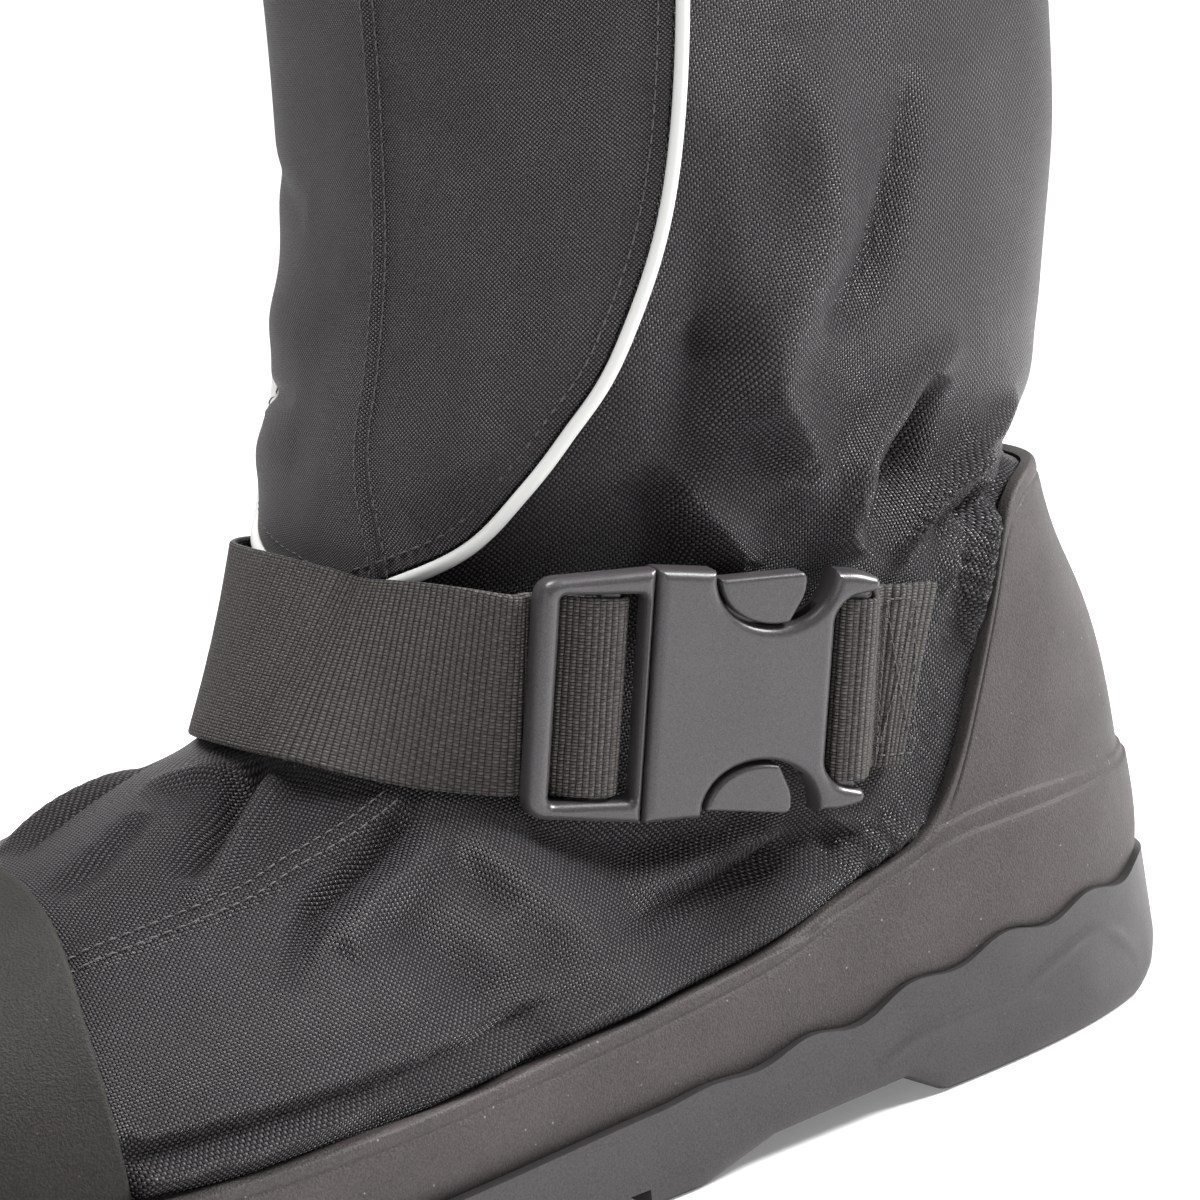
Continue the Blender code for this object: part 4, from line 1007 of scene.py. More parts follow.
def woven(name, pitch, warp, weft, gap_shade, roughness, depth, worn=0.25, stretch=1.0, drift=0.0011, **constants):
    """A woven cloth: a warp painted paler than the weft as the highlight on its floats, painted shade in the
    gaps, shine on the floats and a little worn-in dust.
    Stretch sets the yarns further apart one way than the other, drift is how far they wander."""
    material, tree, shader = new_material(name, **constants)
    marks = add_node(tree, "UVMap", {"uv_map": "cloth"}).outputs[0]
    marks = vector_maths(tree, "MULTIPLY", marks, (1 / stretch, 1, 1))
    place = add_node(tree, "TexCoord").outputs["Object"]
    weave = use_group(tree, WEAVE, Marks=marks, Pitch=pitch, Drift=drift)
    dust = ramp(tree, noise(tree, place, 38.0, 4.0, 0.6)[0], 1 - worn, 1 + worn, 0.3, 0.7)
    threads = ramp(tree, noise(tree, marks, 0.7 / pitch, 1.0)[0], 0.75, 1.3, 0.3, 0.7)
    # Painted highlight: the warp floats take the paler colour, as if they were catching the light.
    yarn = blend_colours(tree, weave["Warp"], (*weft, 1), (*warp, 1))
    yarn = vector_maths(tree, "SCALE", yarn, maths(tree, "MULTIPLY", dust, threads))
    # Painted shade: the gaps between yarns take the near-black gap colour.
    tree.links.new(blend_colours(tree, weave["Gap"], yarn, (*gap_shade, 1)), shader.inputs["Base Color"])
    rough = maths(tree, "ADD", ramp(tree, weave["Warp"], 0.08, -0.08), roughness)
    tree.links.new(rough, shader.inputs["Roughness"])
    relief(tree, shader, weave["Height"], depth)
    return material


upper = make_upper()
# The pale warp against the near-black weft paints the highlight on the floats, and the gap colour paints the
# shade between yarns.
nylon = woven("nylon_cloth", YARN, (0.084, 0.073, 0.080), (0.007, 0.006, 0.007), (0.0005, 0.0005, 0.0005),
              0.40, 0.00046, Specular_IOR_Level=0.36)
dress(upper, nylon, "nylon", "upper")
# Here too the paler warp is a painted highlight on the floats and the dark gap colour is painted shade
# between yarns.
lining_cloth = woven("lining_cloth", 0.0005, (0.022, 0.021, 0.022), (0.016, 0.015, 0.016),
                     (0.004, 0.004, 0.004), 0.75, 0.0001)
dress(make_lining(), lining_cloth, "nylon")

# Toe cap
# A moulded overlay glued on the toe, down to the rand, with a rounded edge.
TOE_CAP_THICK = 0.0016
TOE_CAP_ROUND = 0.0011
TOE_CAP_CORNER = 4.78
TOE_CAP_POINTS = 72


def find_root(function, low, high):
    """Bisection over arrays: the function is negative at low and positive at high."""
    low, high = np.array(low, float), np.array(high, float)
    for _ in range(36):
        middle = (low + high) / 2
        over = function(middle) > 0
        low, high = np.where(over, low, middle), np.where(over, middle, high)
    return (low + high) / 2


def make_toe_cap():
    def above_edge(station, turn):
        points = form(station, turn)
        return points[..., 2] - top_edge(points[..., 0] + HEEL_REST) - GAP

    first = float(find_root(lambda s: above_edge(s, 0.5), [0.1], [3.0])[0])
    share = (1 - np.cos(np.linspace(0, pi, TOE_CAP_POINTS))) / 2
    boundary = first + (TOE_CAP_CORNER - first) * share[::-1]
    side, ridge = np.full(TOE_CAP_POINTS, 0.2), np.full(TOE_CAP_POINTS, 0.5)
    outer = find_root(lambda t: above_edge(boundary, t), side, ridge)
    inner = find_root(lambda t: above_edge(boundary, 1 - t), side, ridge)
    start = np.concatenate([boundary, boundary[-2::-1]])
    turn = np.concatenate([outer, 1 - inner[-2::-1]])
    ahead, behind = np.full(len(turn), 3.0), np.full(len(turn), 6.0)
    rear = find_root(lambda s: behind_toe_edge(form(s, turn)), ahead, behind)
    start = np.minimum(start, rear - 0.02)
    share = (1 - np.cos(np.linspace(0, pi, 60))) / 2
    station = start + (rear - start) * share[:, None]
    turns = np.broadcast_to(turn, station.shape)
    base, normal = form(station, turns), outward(station, turns)
    length = run_along(base)
    thick = TOE_CAP_THICK - TOE_CAP_ROUND + rounded(np.minimum(length, length[-1] - length), TOE_CAP_ROUND)
    outside = base + normal * (GAP + thick)[..., None]
    inside = (base + normal * (GAP * 0.9))[[-1, 40, 20, 0]]
    return grid_piece("toe_cap_moulding", np.concatenate([outside, inside]), closed=(True, False))


toe_cap = make_toe_cap()
smooth(toe_cap, radians(50))
dark_moulding = moulded("toe_cap_moulding", (0.019, 0.0165, 0.0145), (0.12, 0.11, 0.10), 0.0005, 0.5, 0.2,
                        0.66, 0.00028, Specular_IOR_Level=0.30)
dress(toe_cap, dark_moulding, "moulding", "toe_cap")

# Front flap
# A U-shaped panel of finer nylon over the shaft's front, sewn down at its edge and by a double
# seam down its middle.
FLAP_THICK = 0.0013
FLAP_GAP = 0.00042
FLAP_YARN = 0.00040
FLAP_CENTRE = 0.465
FLAP_ROWS = 190
FLAP_COLUMNS = 141
# The flap's edge: section and outer half width in turns
FLAP_EDGE = [
    (10.75, 0.014), (11.15, 0.037), (12.0, 0.075), (13.0, 0.098),
    (14.0, 0.114), (15.0, 0.129), (16.0, 0.148), (18.0, 0.160),
]
# The seam down the flap swings to the outer side over the instep: section and turn
FLAP_SEAM = [
    (10.4, 0.428), (11.2, 0.432), (12.0, 0.440), (13.0, 0.452), (14.0, 0.460), (16.0, 0.464),
    (18.0, 0.465),
]
SEAM_RIDGE = 0.00035
SEAM_HALF = 0.0026
SEAM_FLANK = 0.0009
# The furthest that the seam pulls the columns aside, and how close they crowd at the flap's edges
SWING_LIMIT = 0.45
CROWDING = 0.12
# How much wider the inner half is: the most, at which section, over how many sections
INNER_WIDER = (0.32, 12.4, 1.3)


def flap_seam(station):
    return np.interp(station, *curve(FLAP_SEAM, 60).T)


def flap_inner(station):
    """How much wider the flap's inner half is."""
    most, middle, width = INNER_WIDER
    return 1 + most * bell(station - middle, width)


def flap_edge(rows):
    """Section and outer half width in turns along the flap, up to just under the hem."""
    table = np.array(FLAP_EDGE)
    table[-1, 0] = HEM_START - HEM_EDGE
    return curve(table, rows)


def make_flap():
    places = flap_edge(FLAP_ROWS)
    share = np.linspace(-1, 1, FLAP_COLUMNS)
    across = share - CROWDING * np.sin(2 * pi * share)
    station = places[:, :1] + 0 * across
    swing = (flap_seam(places[:, :1]) - FLAP_CENTRE) / places[:, 1:]
    swing = np.clip(swing, -SWING_LIMIT, SWING_LIMIT)
    across = across + swing * (1 - across**2)
    turn = FLAP_CENTRE + places[:, 1:] * across * np.where(across > 0, flap_inner(station), 1)
    base, normal = form(station, turn), outward(station, turn)
    rise = cloth_rise(station, turn, base)
    middle = np.linalg.norm(base - form(places[:, :1], flap_seam(places[:, :1])), axis=-1)
    rise += SEAM_RIDGE * (smooth_step((SEAM_HALF - middle) / SEAM_FLANK) - 2.6 * bell(middle, SEAM_FLANK))
    edge = np.linalg.norm(base - base[:, [0, -1]][:, np.where(share < 0, 0, 1)], axis=-1)
    edge = np.minimum(edge, np.linalg.norm(base - base[0], axis=-1))
    body = FLAP_THICK / 2 + rounded(edge, FLAP_THICK / 2)
    outside = base + normal * (FLAP_GAP + rise + body)[..., None]
    inside = base + normal * (FLAP_GAP + rise)[..., None]
    ring = np.concatenate([outside, inside[:, ::-1]], axis=1)
    up = run_along(base[:, FLAP_COLUMNS // 2])
    sideways = np.where(turn < flap_seam(station), -middle, middle)
    flat = np.stack(np.broadcast_arrays(sideways, up[:, None]), -1)
    marks = np.concatenate([flat, flat[:, ::-1], flat[:, :1]], axis=1)
    return grid_piece("front_flap_cloth", ring, marks=[marks])


flap = make_flap()
# The pale warp against the near-black weft paints the highlight on the floats, and the gap colour paints the
# shade between yarns.
fine_nylon = woven("fine_nylon_cloth", FLAP_YARN, (0.112, 0.098, 0.104), (0.010, 0.009, 0.010),
                   (0.001, 0.001, 0.001), 0.50, 0.00024, Specular_IOR_Level=0.30)
dress(flap, fine_nylon, "fine_nylon", "front_flap")

# Piping
# A light grey reflective cord sewn around the flap's edge, with a faint painted glow.
PIPING_RADIUS = 0.00135
PIPING_SIDES = 14
PIPING_END = 0.6
PIPING_ROWS = 160
FOOT_POINTS = 14
FOOT_DROP = 0.06


def cord_along(name, centres, aside):
    """A round cord with domed ends along a line of points."""
    tangent = unit(np.gradient(centres, axis=0))
    second = unit(np.cross(tangent, aside))
    angles = np.arange(PIPING_SIDES)[:, None] / PIPING_SIDES * 2 * pi
    ring = PIPING_RADIUS * (np.cos(angles) * aside[:, None] - np.sin(angles) * second[:, None])
    caps = []
    for end, way in ((0, -1), (-1, 1)):
        dome = way * tangent[end] * PIPING_RADIUS * PIPING_END
        caps.append([centres[end] + dome * sin(a) + ring[end] * max(cos(a), 0.02)
                     for a in np.linspace(0, pi / 2, 5)[1:]])
    return grid_piece(name, np.concatenate([caps[0][::-1], centres[:, None] + ring, caps[1]]))


def eased(values, rounds):
    """Values along a line, averaged with their neighbours in rounds. The ends stay."""
    for _ in range(rounds):
        values[1:-1] = (values[:-2] + 2 * values[1:-1] + values[2:]) / 4
    return values


def make_piping():
    places = flap_edge(PIPING_ROWS)[::-1]
    foot = places[-1]
    turns = np.linspace(-1, 1, FOOT_POINTS + 2)[1:-1] * foot[1]
    under = foot[0] - FOOT_DROP * np.cos(turns / foot[1] * pi / 2)
    station = np.concatenate([places[:, 0], under, places[::-1, 0]])
    half = np.concatenate([-places[:, 1], turns, places[::-1, 1]])
    half *= np.where(half > 0, flap_inner(station), 1)
    edge, normal = form(station, FLAP_CENTRE + half), outward(station, FLAP_CENTRE + half)
    rise = eased(cloth_rise(station, FLAP_CENTRE + half, edge), 50)
    tangent = unit(np.gradient(edge, axis=0))
    aside = unit(np.cross(tangent, normal))
    if ((edge[0] - form(12.0, FLAP_CENTRE)) * aside[0]).sum() < 0:
        aside = -aside
    centres = edge + aside * (2 * GAP + PIPING_RADIUS) + normal * (GAP + rise + PIPING_RADIUS)[:, None]
    return cord_along("flap_piping_cord", eased(centres, 16), aside)


piping = make_piping()
# The faint emission makes the cord glow brighter than its lighting gives: painted light.
cord = new_material("piping_cord", Base_Color=(0.70, 0.70, 0.68, 1), Roughness=0.45,
                    Emission_Color=(1, 0.99, 0.97, 1), Emission_Strength=0.04)[0]
dress(piping, cord, "piping", "flap_piping")

# Buckle seat
# The strap crosses the instep to a side-release buckle, which lies on the outer side of the ankle
# on the plane that best fits the last under it. Both straps and both halves are placed from it.
WEB_WIDTH = 0.038
WEB_THICK = 0.0015
TAIL_LENGTH = 0.030
BUCKLE_LENGTH = 0.070
BUCKLE_WIDTH = 0.048
MALE_LENGTH = 0.0235
BODY_TOP = 0.0094
BODY_BOTTOM = 0.0022
FRAME_TOP = 0.0092
FRAME_BOTTOM = 0.0040
BAR_THICK = 0.0028
BAR_WIDTH = 0.0044
FRAME_BAR = 0.0045
MOUTH_BAR = 0.0019
BAR_SINK = 0.0013
MALE_BAR_BACK = 0.0083
FEMALE_BAR_BACK = 0.0036
HORN_LENGTH = 0.009
SCALLOP = 0.0108
SIDE_WALL = 0.0032
BODY_WALL = 0.0014
BUCKLE_SEAT = (10.38, 0.297)
BUCKLE_DROP = -0.02
BUCKLE_TUCK = 0.02
SEAT_SINK = 0.0025
# How far the worn buckle lies off that plane: up, leant out at its upper edge, turned in it
BUCKLE_LIFT = 0.0008
BUCKLE_LEAN = radians(6.0)
BUCKLE_TWIST = radians(1.5)


def place_under(axes, origin, along, across):
    """Section and turn of the last's point at a place along and across the buckle."""
    place = np.array(BUCKLE_SEAT)
    for _ in range(25):
        here = form(*place)
        error = (here - origin) @ axes - [along, across]
        slopes = [(form(*(place + step)) - here) @ axes / np.sum(step) for step in np.diag([0.01, 0.001])]
        place = place - np.linalg.solve(np.array(slopes).T, error) * 0.8
    return place


def swung(first, second, angle):
    """Two directions turned in their own plane."""
    return first * cos(angle) - second * sin(angle), second * cos(angle) + first * sin(angle)


def heights_under(axes, origin, out, spots):
    """How far out the last lies under spots of the buckle."""
    return np.array([(form(*place_under(axes, origin, *spot)) - origin) @ out for spot in spots])


def buckle_frame():
    """The buckle's seat, the way along the strap to the heel, across, and out."""
    origin, out = form(*BUCKLE_SEAT), outward(*BUCKLE_SEAT)
    reach = np.linspace(-0.48, 0.48, 5) * BUCKLE_LENGTH, np.linspace(-0.5, 0.5, 5) * BUCKLE_WIDTH
    spots = [(along, across) for along in reach[0] for across in reach[1]]
    ahead = form((STRAP_LINE[-1][1] + STRAP_LINE[-1][2]) / 2, STRAP_LINE[-1][0])
    for _ in range(4):
        along = origin - ahead
        along = unit(along - out * (along @ out) - np.array([0, 0, 1]) * BUCKLE_DROP * np.linalg.norm(along))
        along = unit(along - out * (along @ out))
        across = np.cross(out, along)
        across = across * np.sign(across[2])
        heights = heights_under(np.column_stack([along, across]), origin, out, spots)
        fit = np.linalg.lstsq(np.column_stack([np.ones(len(spots)), np.array(spots)]), heights, rcond=None)[0]
        out = unit(out - fit[1] * along - fit[2] * across)
    along = unit(along - out * (along @ out))
    across = unit(across - out * (across @ out) - along * (across @ along))
    out, across = swung(out, across, BUCKLE_TUCK)
    heights = heights_under(np.column_stack([along, across]), origin, out, spots)
    seat = origin + out * (max(heights) - SEAT_SINK) + across * BUCKLE_LIFT
    out, across = swung(out, across, BUCKLE_LEAN)
    along, across = swung(along, across, -BUCKLE_TWIST)
    return seat, along, across, out


SEAT, ALONG, ACROSS, OUT = buckle_frame()
BAR_CENTRE = (FRAME_BOTTOM + FRAME_TOP) / 2 - BAR_SINK
TURN_RADIUS = BAR_THICK / 2 + GAP + WEB_THICK / 2
TURN_SHIFT = (BAR_WIDTH - BAR_THICK) / 2
HALF = BUCKLE_WIDTH / 2
LEFT_END = -BUCKLE_LENGTH / 2
MOUTH = LEFT_END + MALE_LENGTH
MALE_BAR = MOUTH - MALE_BAR_BACK
PLATE_END = BUCKLE_LENGTH / 2 - HORN_LENGTH
FEMALE_BAR = BUCKLE_LENGTH / 2 - FEMALE_BAR_BACK
UNDER_FRAME = FRAME_BOTTOM - GAP - WEB_THICK / 2
LAYER = WEB_THICK + GAP
RAIL = HALF - WEB_WIDTH / 2 - 2 * GAP


def in_buckle(places):
    """World points from places along the buckle and out of it."""
    places = np.asarray(places, float)
    return SEAT + places[:, :1] * ALONG + places[:, 1:] * OUT


# Straps
# Heavy ribbed webbing, 38 mm wide. The long strap is sewn to the inner side, crosses the instep,
# folds round the buckle's bar and runs back under itself. The short one is sewn down behind.
RIB_PITCH = 0.00120
RIB_DEPTH = 0.00024
STRAP_SLANT = 0.20
SLANT_REACH = 0.012
WEBBING_STEP = 0.00035
SELVEDGE = 0.0008
SEWN_START = 0.0045
SEWN_LENGTH = 0.0105
SHORT_WIDTH = 0.0356


def even_line(points, others, step):
    """A smooth line in even steps through points, with other values carried along it."""
    joined = np.concatenate([points, others], axis=1)
    fine = curve(joined, 40 * len(joined))
    length = run_along(fine[:, :3])
    places = np.linspace(0, length[-1], int(length[-1] / step) + 1)
    even = carried(places, length, fine)
    return even[:, :3], even[:, 3:], places


def webbing_band(name, centres, acrosses, slant_start=0.0, slant_end=0.0, width=WEB_WIDTH):
    """Webbing swept along its middle line: cross ribs, woven edges and slanted ends."""
    centres, acrosses, length = even_line(centres, acrosses, WEBBING_STEP)
    tangent = unit(np.gradient(centres, axis=0))
    across = unit(acrosses - tangent * (acrosses * tangent).sum(-1, keepdims=True))
    out = np.cross(across, tangent)
    half, thick = width / 2, WEB_THICK / 2
    edge = [(-half + thick * (1 - sin(a)), thick * cos(a)) for a in np.linspace(pi, 0, 9)]
    top = [(w, thick) for w in np.linspace(-half + thick, half - thick, 24)[1:-1]]
    ring = edge + top
    ring += [(-w, -d) for w, d in ring]
    side, layer = np.array(ring[::-1]).T
    flat = np.clip((half - np.abs(side)) / SELVEDGE, 0, 1)
    ribs = RIB_DEPTH * np.abs(np.sin(pi * length / RIB_PITCH))[:, None] - RIB_DEPTH
    depth = layer + np.sign(layer) * ribs * flat * (np.abs(layer) > thick * 0.6)
    near_start, near_end = [np.clip(1 - part / SLANT_REACH, 0, 1) for part in (length, length[-1] - length)]
    slant = slant_start * near_start + slant_end * near_end
    points = (centres[:, None] + across[:, None] * side[:, None] + out[:, None] * depth[..., None]
              + tangent[:, None] * (slant[:, None] * side)[..., None])
    marks = np.stack(np.broadcast_arrays(np.append(side, side[0]), length[:, None]), -1)
    closing = [row * 0.02 + row.mean(0) * 0.98 for row in (points[0], points[-1])]
    points = np.concatenate([closing[:1], points, closing[1:]])
    marks = np.concatenate([marks[:1], marks, marks[-1:]])
    return grid_piece(name, points, marks=[marks])


def strap_edges():
    """The strap's lower and upper edges over the last, in the middle of its thickness."""
    turn, low, top, low_rise, top_rise = np.array(STRAP_LINE).T
    edges = []
    for station, rise in ((low, low_rise), (top, top_rise)):
        base = form(station, turn)
        seat = GAP + WEB_THICK / 2 + STRAP_RISE * rise + waist(base) * 0.8
        edges.append(base + outward(station, turn) * seat[:, None])
    return edges


def turn_round(bar, side):
    """Half a turn of the webbing round a bar, from over it to under it."""
    angles = np.linspace(pi / 2, -pi / 2, 7)
    return [(bar + side * (TURN_SHIFT + TURN_RADIUS * cos(a)), BAR_CENTRE + TURN_RADIUS * sin(a))
            for a in angles]


def make_long_strap():
    low, top = strap_edges()
    under_bar = in_buckle([(LEFT_END - 4 * WEB_THICK, UNDER_FRAME), (LEFT_END + WEB_THICK / 2, UNDER_FRAME)])
    controls = np.concatenate([(low + top) / 2, under_bar])
    across = np.concatenate([unit(top - low), [ACROSS, ACROSS]])
    smooth_line = curve(np.concatenate([controls, across], axis=1), 3 * len(controls))
    centres, acrosses = smooth_line[:, :3], smooth_line[:, 3:]
    over, under = BAR_CENTRE + TURN_RADIUS - 2 * GAP, BAR_CENTRE - TURN_RADIUS - GAP / 2
    loop = [(LEFT_END + FRAME_BAR, UNDER_FRAME), (MALE_BAR - 5 * WEB_THICK, UNDER_FRAME + 1.5 * WEB_THICK)]
    loop += [(MALE_BAR - 2.7 * WEB_THICK, over)]
    loop += turn_round(MALE_BAR, 1)
    loop += [(MALE_BAR - 2.3 * WEB_THICK, under), (MALE_BAR - 5.7 * WEB_THICK, UNDER_FRAME - LAYER)]
    loop += [(LEFT_END + WEB_THICK / 2, UNDER_FRAME - LAYER)]
    loop_points = in_buckle(loop)
    out = np.cross(acrosses, unit(np.gradient(centres, axis=0)))
    out *= np.sign((out * OUT).sum(-1, keepdims=True)[-1])
    lengths = np.cumsum(np.linalg.norm(np.diff(centres[::-1], axis=0), axis=1))
    count = int((lengths < TAIL_LENGTH).sum())
    tail = (centres - out * LAYER)[::-1][1:count + 1]
    middle = np.concatenate([centres, loop_points, tail])
    straight = np.tile(ACROSS, (len(loop_points), 1))
    middle_across = np.concatenate([acrosses, straight, acrosses[::-1][1:count + 1]])
    return webbing_band("strap_long_webbing", middle, middle_across, slant_start=-STRAP_SLANT)


def make_short_strap():
    start = BUCKLE_LENGTH / 2 + SEWN_START
    axes = np.column_stack([ALONG, ACROSS])
    shares = (0, 0.5, 1)
    line = np.array([place_under(axes, SEAT, start + SEWN_LENGTH * share, 0) for share in shares])
    base, normal = form(line[:, 0], line[:, 1]), outward(line[:, 0], line[:, 1])
    lift = 0
    for k, share in enumerate(shares):
        for side in (-0.5, 0.5):
            edge = form(*place_under(axes, SEAT, start + SEWN_LENGTH * share, side * WEB_WIDTH))
            lift = max(lift, (edge - base[k]) @ normal[k])
    lower = base + normal * (lift + GAP + WEB_THICK / 2)
    upper_layer = lower + normal * LAYER
    behind = FEMALE_BAR + 2.3 * WEB_THICK
    fold = [(behind, BAR_CENTRE + TURN_RADIUS - 2 * GAP)] + turn_round(FEMALE_BAR, -1)
    fold += [(behind, BAR_CENTRE - TURN_RADIUS - GAP / 2)]
    centres = np.concatenate([upper_layer[::-1], in_buckle(fold), lower])
    tangent = unit(np.gradient(upper_layer, axis=0))
    across = np.cross(normal, tangent)
    across = unit(across * np.sign((across * ACROSS).sum(-1, keepdims=True)))
    acrosses = np.concatenate([across[::-1], np.tile(ACROSS, (len(fold), 1)), across])
    band = webbing_band("strap_short_webbing", centres, acrosses, -STRAP_SLANT, STRAP_SLANT, SHORT_WIDTH)
    return band, upper_layer, across, normal


# The warp painted paler than the weft is a highlight on the yarn tops, and the near-black gap colour is
# painted shade in the grooves between ribs.
webbing = woven("webbing_cloth", RIB_PITCH, (0.080, 0.071, 0.067), (0.060, 0.053, 0.050),
                (0.003, 0.003, 0.002), 0.5, 0.00030, worn=0.10, stretch=0.50, drift=0.0002,
                Specular_IOR_Level=0.3)
dress(make_long_strap(), webbing, "webbing", "strap_long")
short_strap, sewn_line, sewn_across, sewn_out = make_short_strap()
dress(short_strap, webbing, "webbing", "strap_short")

# Buckle
# A side-release buckle in two halves of satin grey plastic with softly rounded edges. The hollow
# half has a scallop in each edge that shows a sprung pad, and two horns over the folded webbing.
FRAME_ROUND = 0.0022
PLATE_ROUND = 0.0021
PAD_ROUND = 0.0010
UNDER_ROUND = 0.0007
ARM_ROUND = 0.0008
# Spacing of a plate's points along its outline and over its field, and how far the field's points
# keep from the last ring of its rounding
PLATE_STEP = 0.0005
FIELD_STEP = 0.0011
FIELD_CLEAR = 0.0009
RING_STEP = 0.0004
PAD_TOP = 0.0091
POCKET_TOP = 0.0064
LEFT_HALF = 0.0226
MOUTH_HALF = 0.0243
HORN_HALF = 0.0219
SCALLOP_FIRST = 0.0008
SCALLOP_LAST = 0.0254


def dense(outline, spacing):
    """A closed outline with points at most a spacing apart."""
    points = []
    for start, end in zip(outline, outline[1:] + outline[:1]):
        start, end = np.array(start), np.array(end)
        count = max(1, int(np.ceil(np.linalg.norm(end - start) / spacing)))
        points += [start + (end - start) * k / count for k in range(count)]
    return np.array(points)


def rounded_corners(outline, radii):
    """A polygon with its corners replaced by arcs of these radii."""
    points = []
    count = len(outline)
    for k, radius in enumerate(radii):
        corner = np.array(outline[k], float)
        before, after = [np.array(outline[j], float) - corner for j in ((k - 1) % count, (k + 1) % count)]
        reach = min(radius, 0.48 * np.linalg.norm(before), 0.48 * np.linalg.norm(after))
        start, end = corner + unit(before) * reach, corner + unit(after) * reach
        share = np.linspace(0, 1, 9)[:, None] if radius else np.zeros((1, 1))
        arc = start * (1 - share) ** 2 + 2 * corner * share * (1 - share) + end * share**2
        points += [tuple(point) for point in arc]
    return points


def to_loops(points, loops):
    """Distance from points in plan to the nearest side of the loops."""
    best = np.full(len(points), 1.0)
    for loop in loops:
        steps = np.roll(loop, -1, axis=0) - loop
        for first in range(0, len(points), 2000):
            some = points[first:first + 2000]
            share = ((some[:, None] - loop) * steps).sum(-1) / (steps**2).sum(-1)
            near = loop + steps * np.clip(share, 0, 1)[..., None]
            away = np.linalg.norm(some[:, None] - near, axis=-1).min(1)
            best[first:first + 2000] = np.minimum(best[first:first + 2000], away)
    return best


def inside_loops(points, loops):
    """Whether points in plan lie inside the first loop and outside the others."""
    crossings = np.zeros(len(points), int)
    for loop in loops:
        after = np.roll(loop, -1, axis=0)
        for (ax, ay), (bx, by) in zip(loop, after):
            spans = (ay > points[:, 1]) != (by > points[:, 1])
            if ay != by:
                crossings += spans & (points[:, 0] < (bx - ax) * (points[:, 1] - ay) / (by - ay) + ax)
    return crossings % 2 == 1


def cushion(name, outlines, bottom, top, radius):
    """A moulded plate over an outline and its holes, rounded over at every edge."""
    loops = [dense(outline, PLATE_STEP) for outline in outlines]
    plan = np.concatenate(loops)
    steps = [radius * (1 - cos(a)) for a in np.linspace(0, pi / 2, 8)[1:]] + [radius + RING_STEP]
    inner = []
    for loop in loops:
        tangent = unit(np.roll(loop, -1, axis=0) - np.roll(loop, 1, axis=0))
        normal = np.stack([-tangent[:, 1], tangent[:, 0]], -1)
        probe = inside_loops(loop + normal * 0.00005, loops)
        normal[~probe] *= -1
        for step in steps:
            ring = loop + normal * step
            ring = ring[inside_loops(ring, loops)]
            inner.append(ring[to_loops(ring, loops) > step * 0.985 - 1e-6])
    low, high = plan.min(0), plan.max(0)
    across, up = np.meshgrid(*[np.arange(low[k], high[k], FIELD_STEP) for k in (0, 1)])
    across[::2] += FIELD_STEP / 2
    field = np.stack([across.ravel(), up.ravel()], -1)
    field = field[inside_loops(field, loops)]
    inner.append(field[to_loops(field, loops) > radius + FIELD_CLEAR])
    points = np.concatenate([plan] + inner)
    edges = []
    first = 0
    for loop in loops:
        edges += [(first + k, first + (k + 1) % len(loop)) for k in range(len(loop))]
        first += len(loop)
    made = delaunay_2d_cdt([Vector(p) for p in (points * 1000).tolist()], edges, [], 0, 1e-5)
    spots = np.array(made[0]) / 1000
    faces = np.array(made[2])
    faces = faces[inside_loops(spots[faces].mean(1), loops)]
    depth = to_loops(spots, loops)
    rim = {tuple(np.round(p * 1e7).astype(int)) for p in plan}
    on_rim = np.array([tuple(np.round(p * 1e7).astype(int)) in rim for p in spots])
    depth[on_rim] = 0
    upper_side = top - radius + rounded(depth, radius)
    lower_side = bottom + UNDER_ROUND - rounded(depth, UNDER_ROUND)
    count = len(spots)
    vertices = np.concatenate([np.column_stack([spots, side]) for side in (upper_side, lower_side)])
    sides = faces.tolist() + (faces[:, ::-1] + count).tolist()
    borders = dict.fromkeys(edge for a, b, c in faces.tolist() for edge in ((a, b), (b, c), (c, a)))
    sides += [[b, a, a + count, b + count] for a, b in borders if (b, a) not in borders]
    mesh = bpy.data.meshes.new(name)
    mesh.from_pydata(vertices.tolist(), [], sides)
    mesh.validate()
    return object_of(name, mesh)


def joined(items):
    """Several pieces as one mesh."""
    bm = bmesh.new()
    for item in items:
        bm.from_mesh(item.data)
        bpy.data.objects.remove(item)
    mesh = bpy.data.meshes.new("joined")
    bm.to_mesh(mesh)
    bm.free()
    return mesh


def set_in_buckle(item):
    axes = Matrix([[*row] for row in np.column_stack([ALONG, ACROSS, OUT])]).to_4x4()
    item.data.transform(Matrix.Translation(Vector(SEAT)) @ axes)


def rectangle(low, high, half):
    return [(low, -half), (high, -half), (high, half), (low, half)]


def bar(name, middle, half):
    """A bar across the buckle that webbing folds round, let into both rails."""
    bm = bmesh.new()
    outline = rectangle(middle - BAR_WIDTH / 2, middle + BAR_WIDTH / 2, half)
    prism(bm, [(x, y, BAR_CENTRE - BAR_THICK / 2) for x, y in outline], (0, 0, BAR_THICK))
    item = solid(name, bm)
    round_edges(item, BAR_THICK / 3, 4)
    return item


def scallop_line(inset=0.0, first=0.0, last=pi):
    """The scallop's edge on the upper side, moved into the scallop by an inset."""
    middle, reach = (SCALLOP_FIRST + SCALLOP_LAST) / 2, (SCALLOP_LAST - SCALLOP_FIRST) / 2
    return [(middle - (reach - inset) * cos(a), HALF - GAP - (SCALLOP - inset) * sin(a) ** 0.9)
            for a in np.linspace(first, last, 34)]


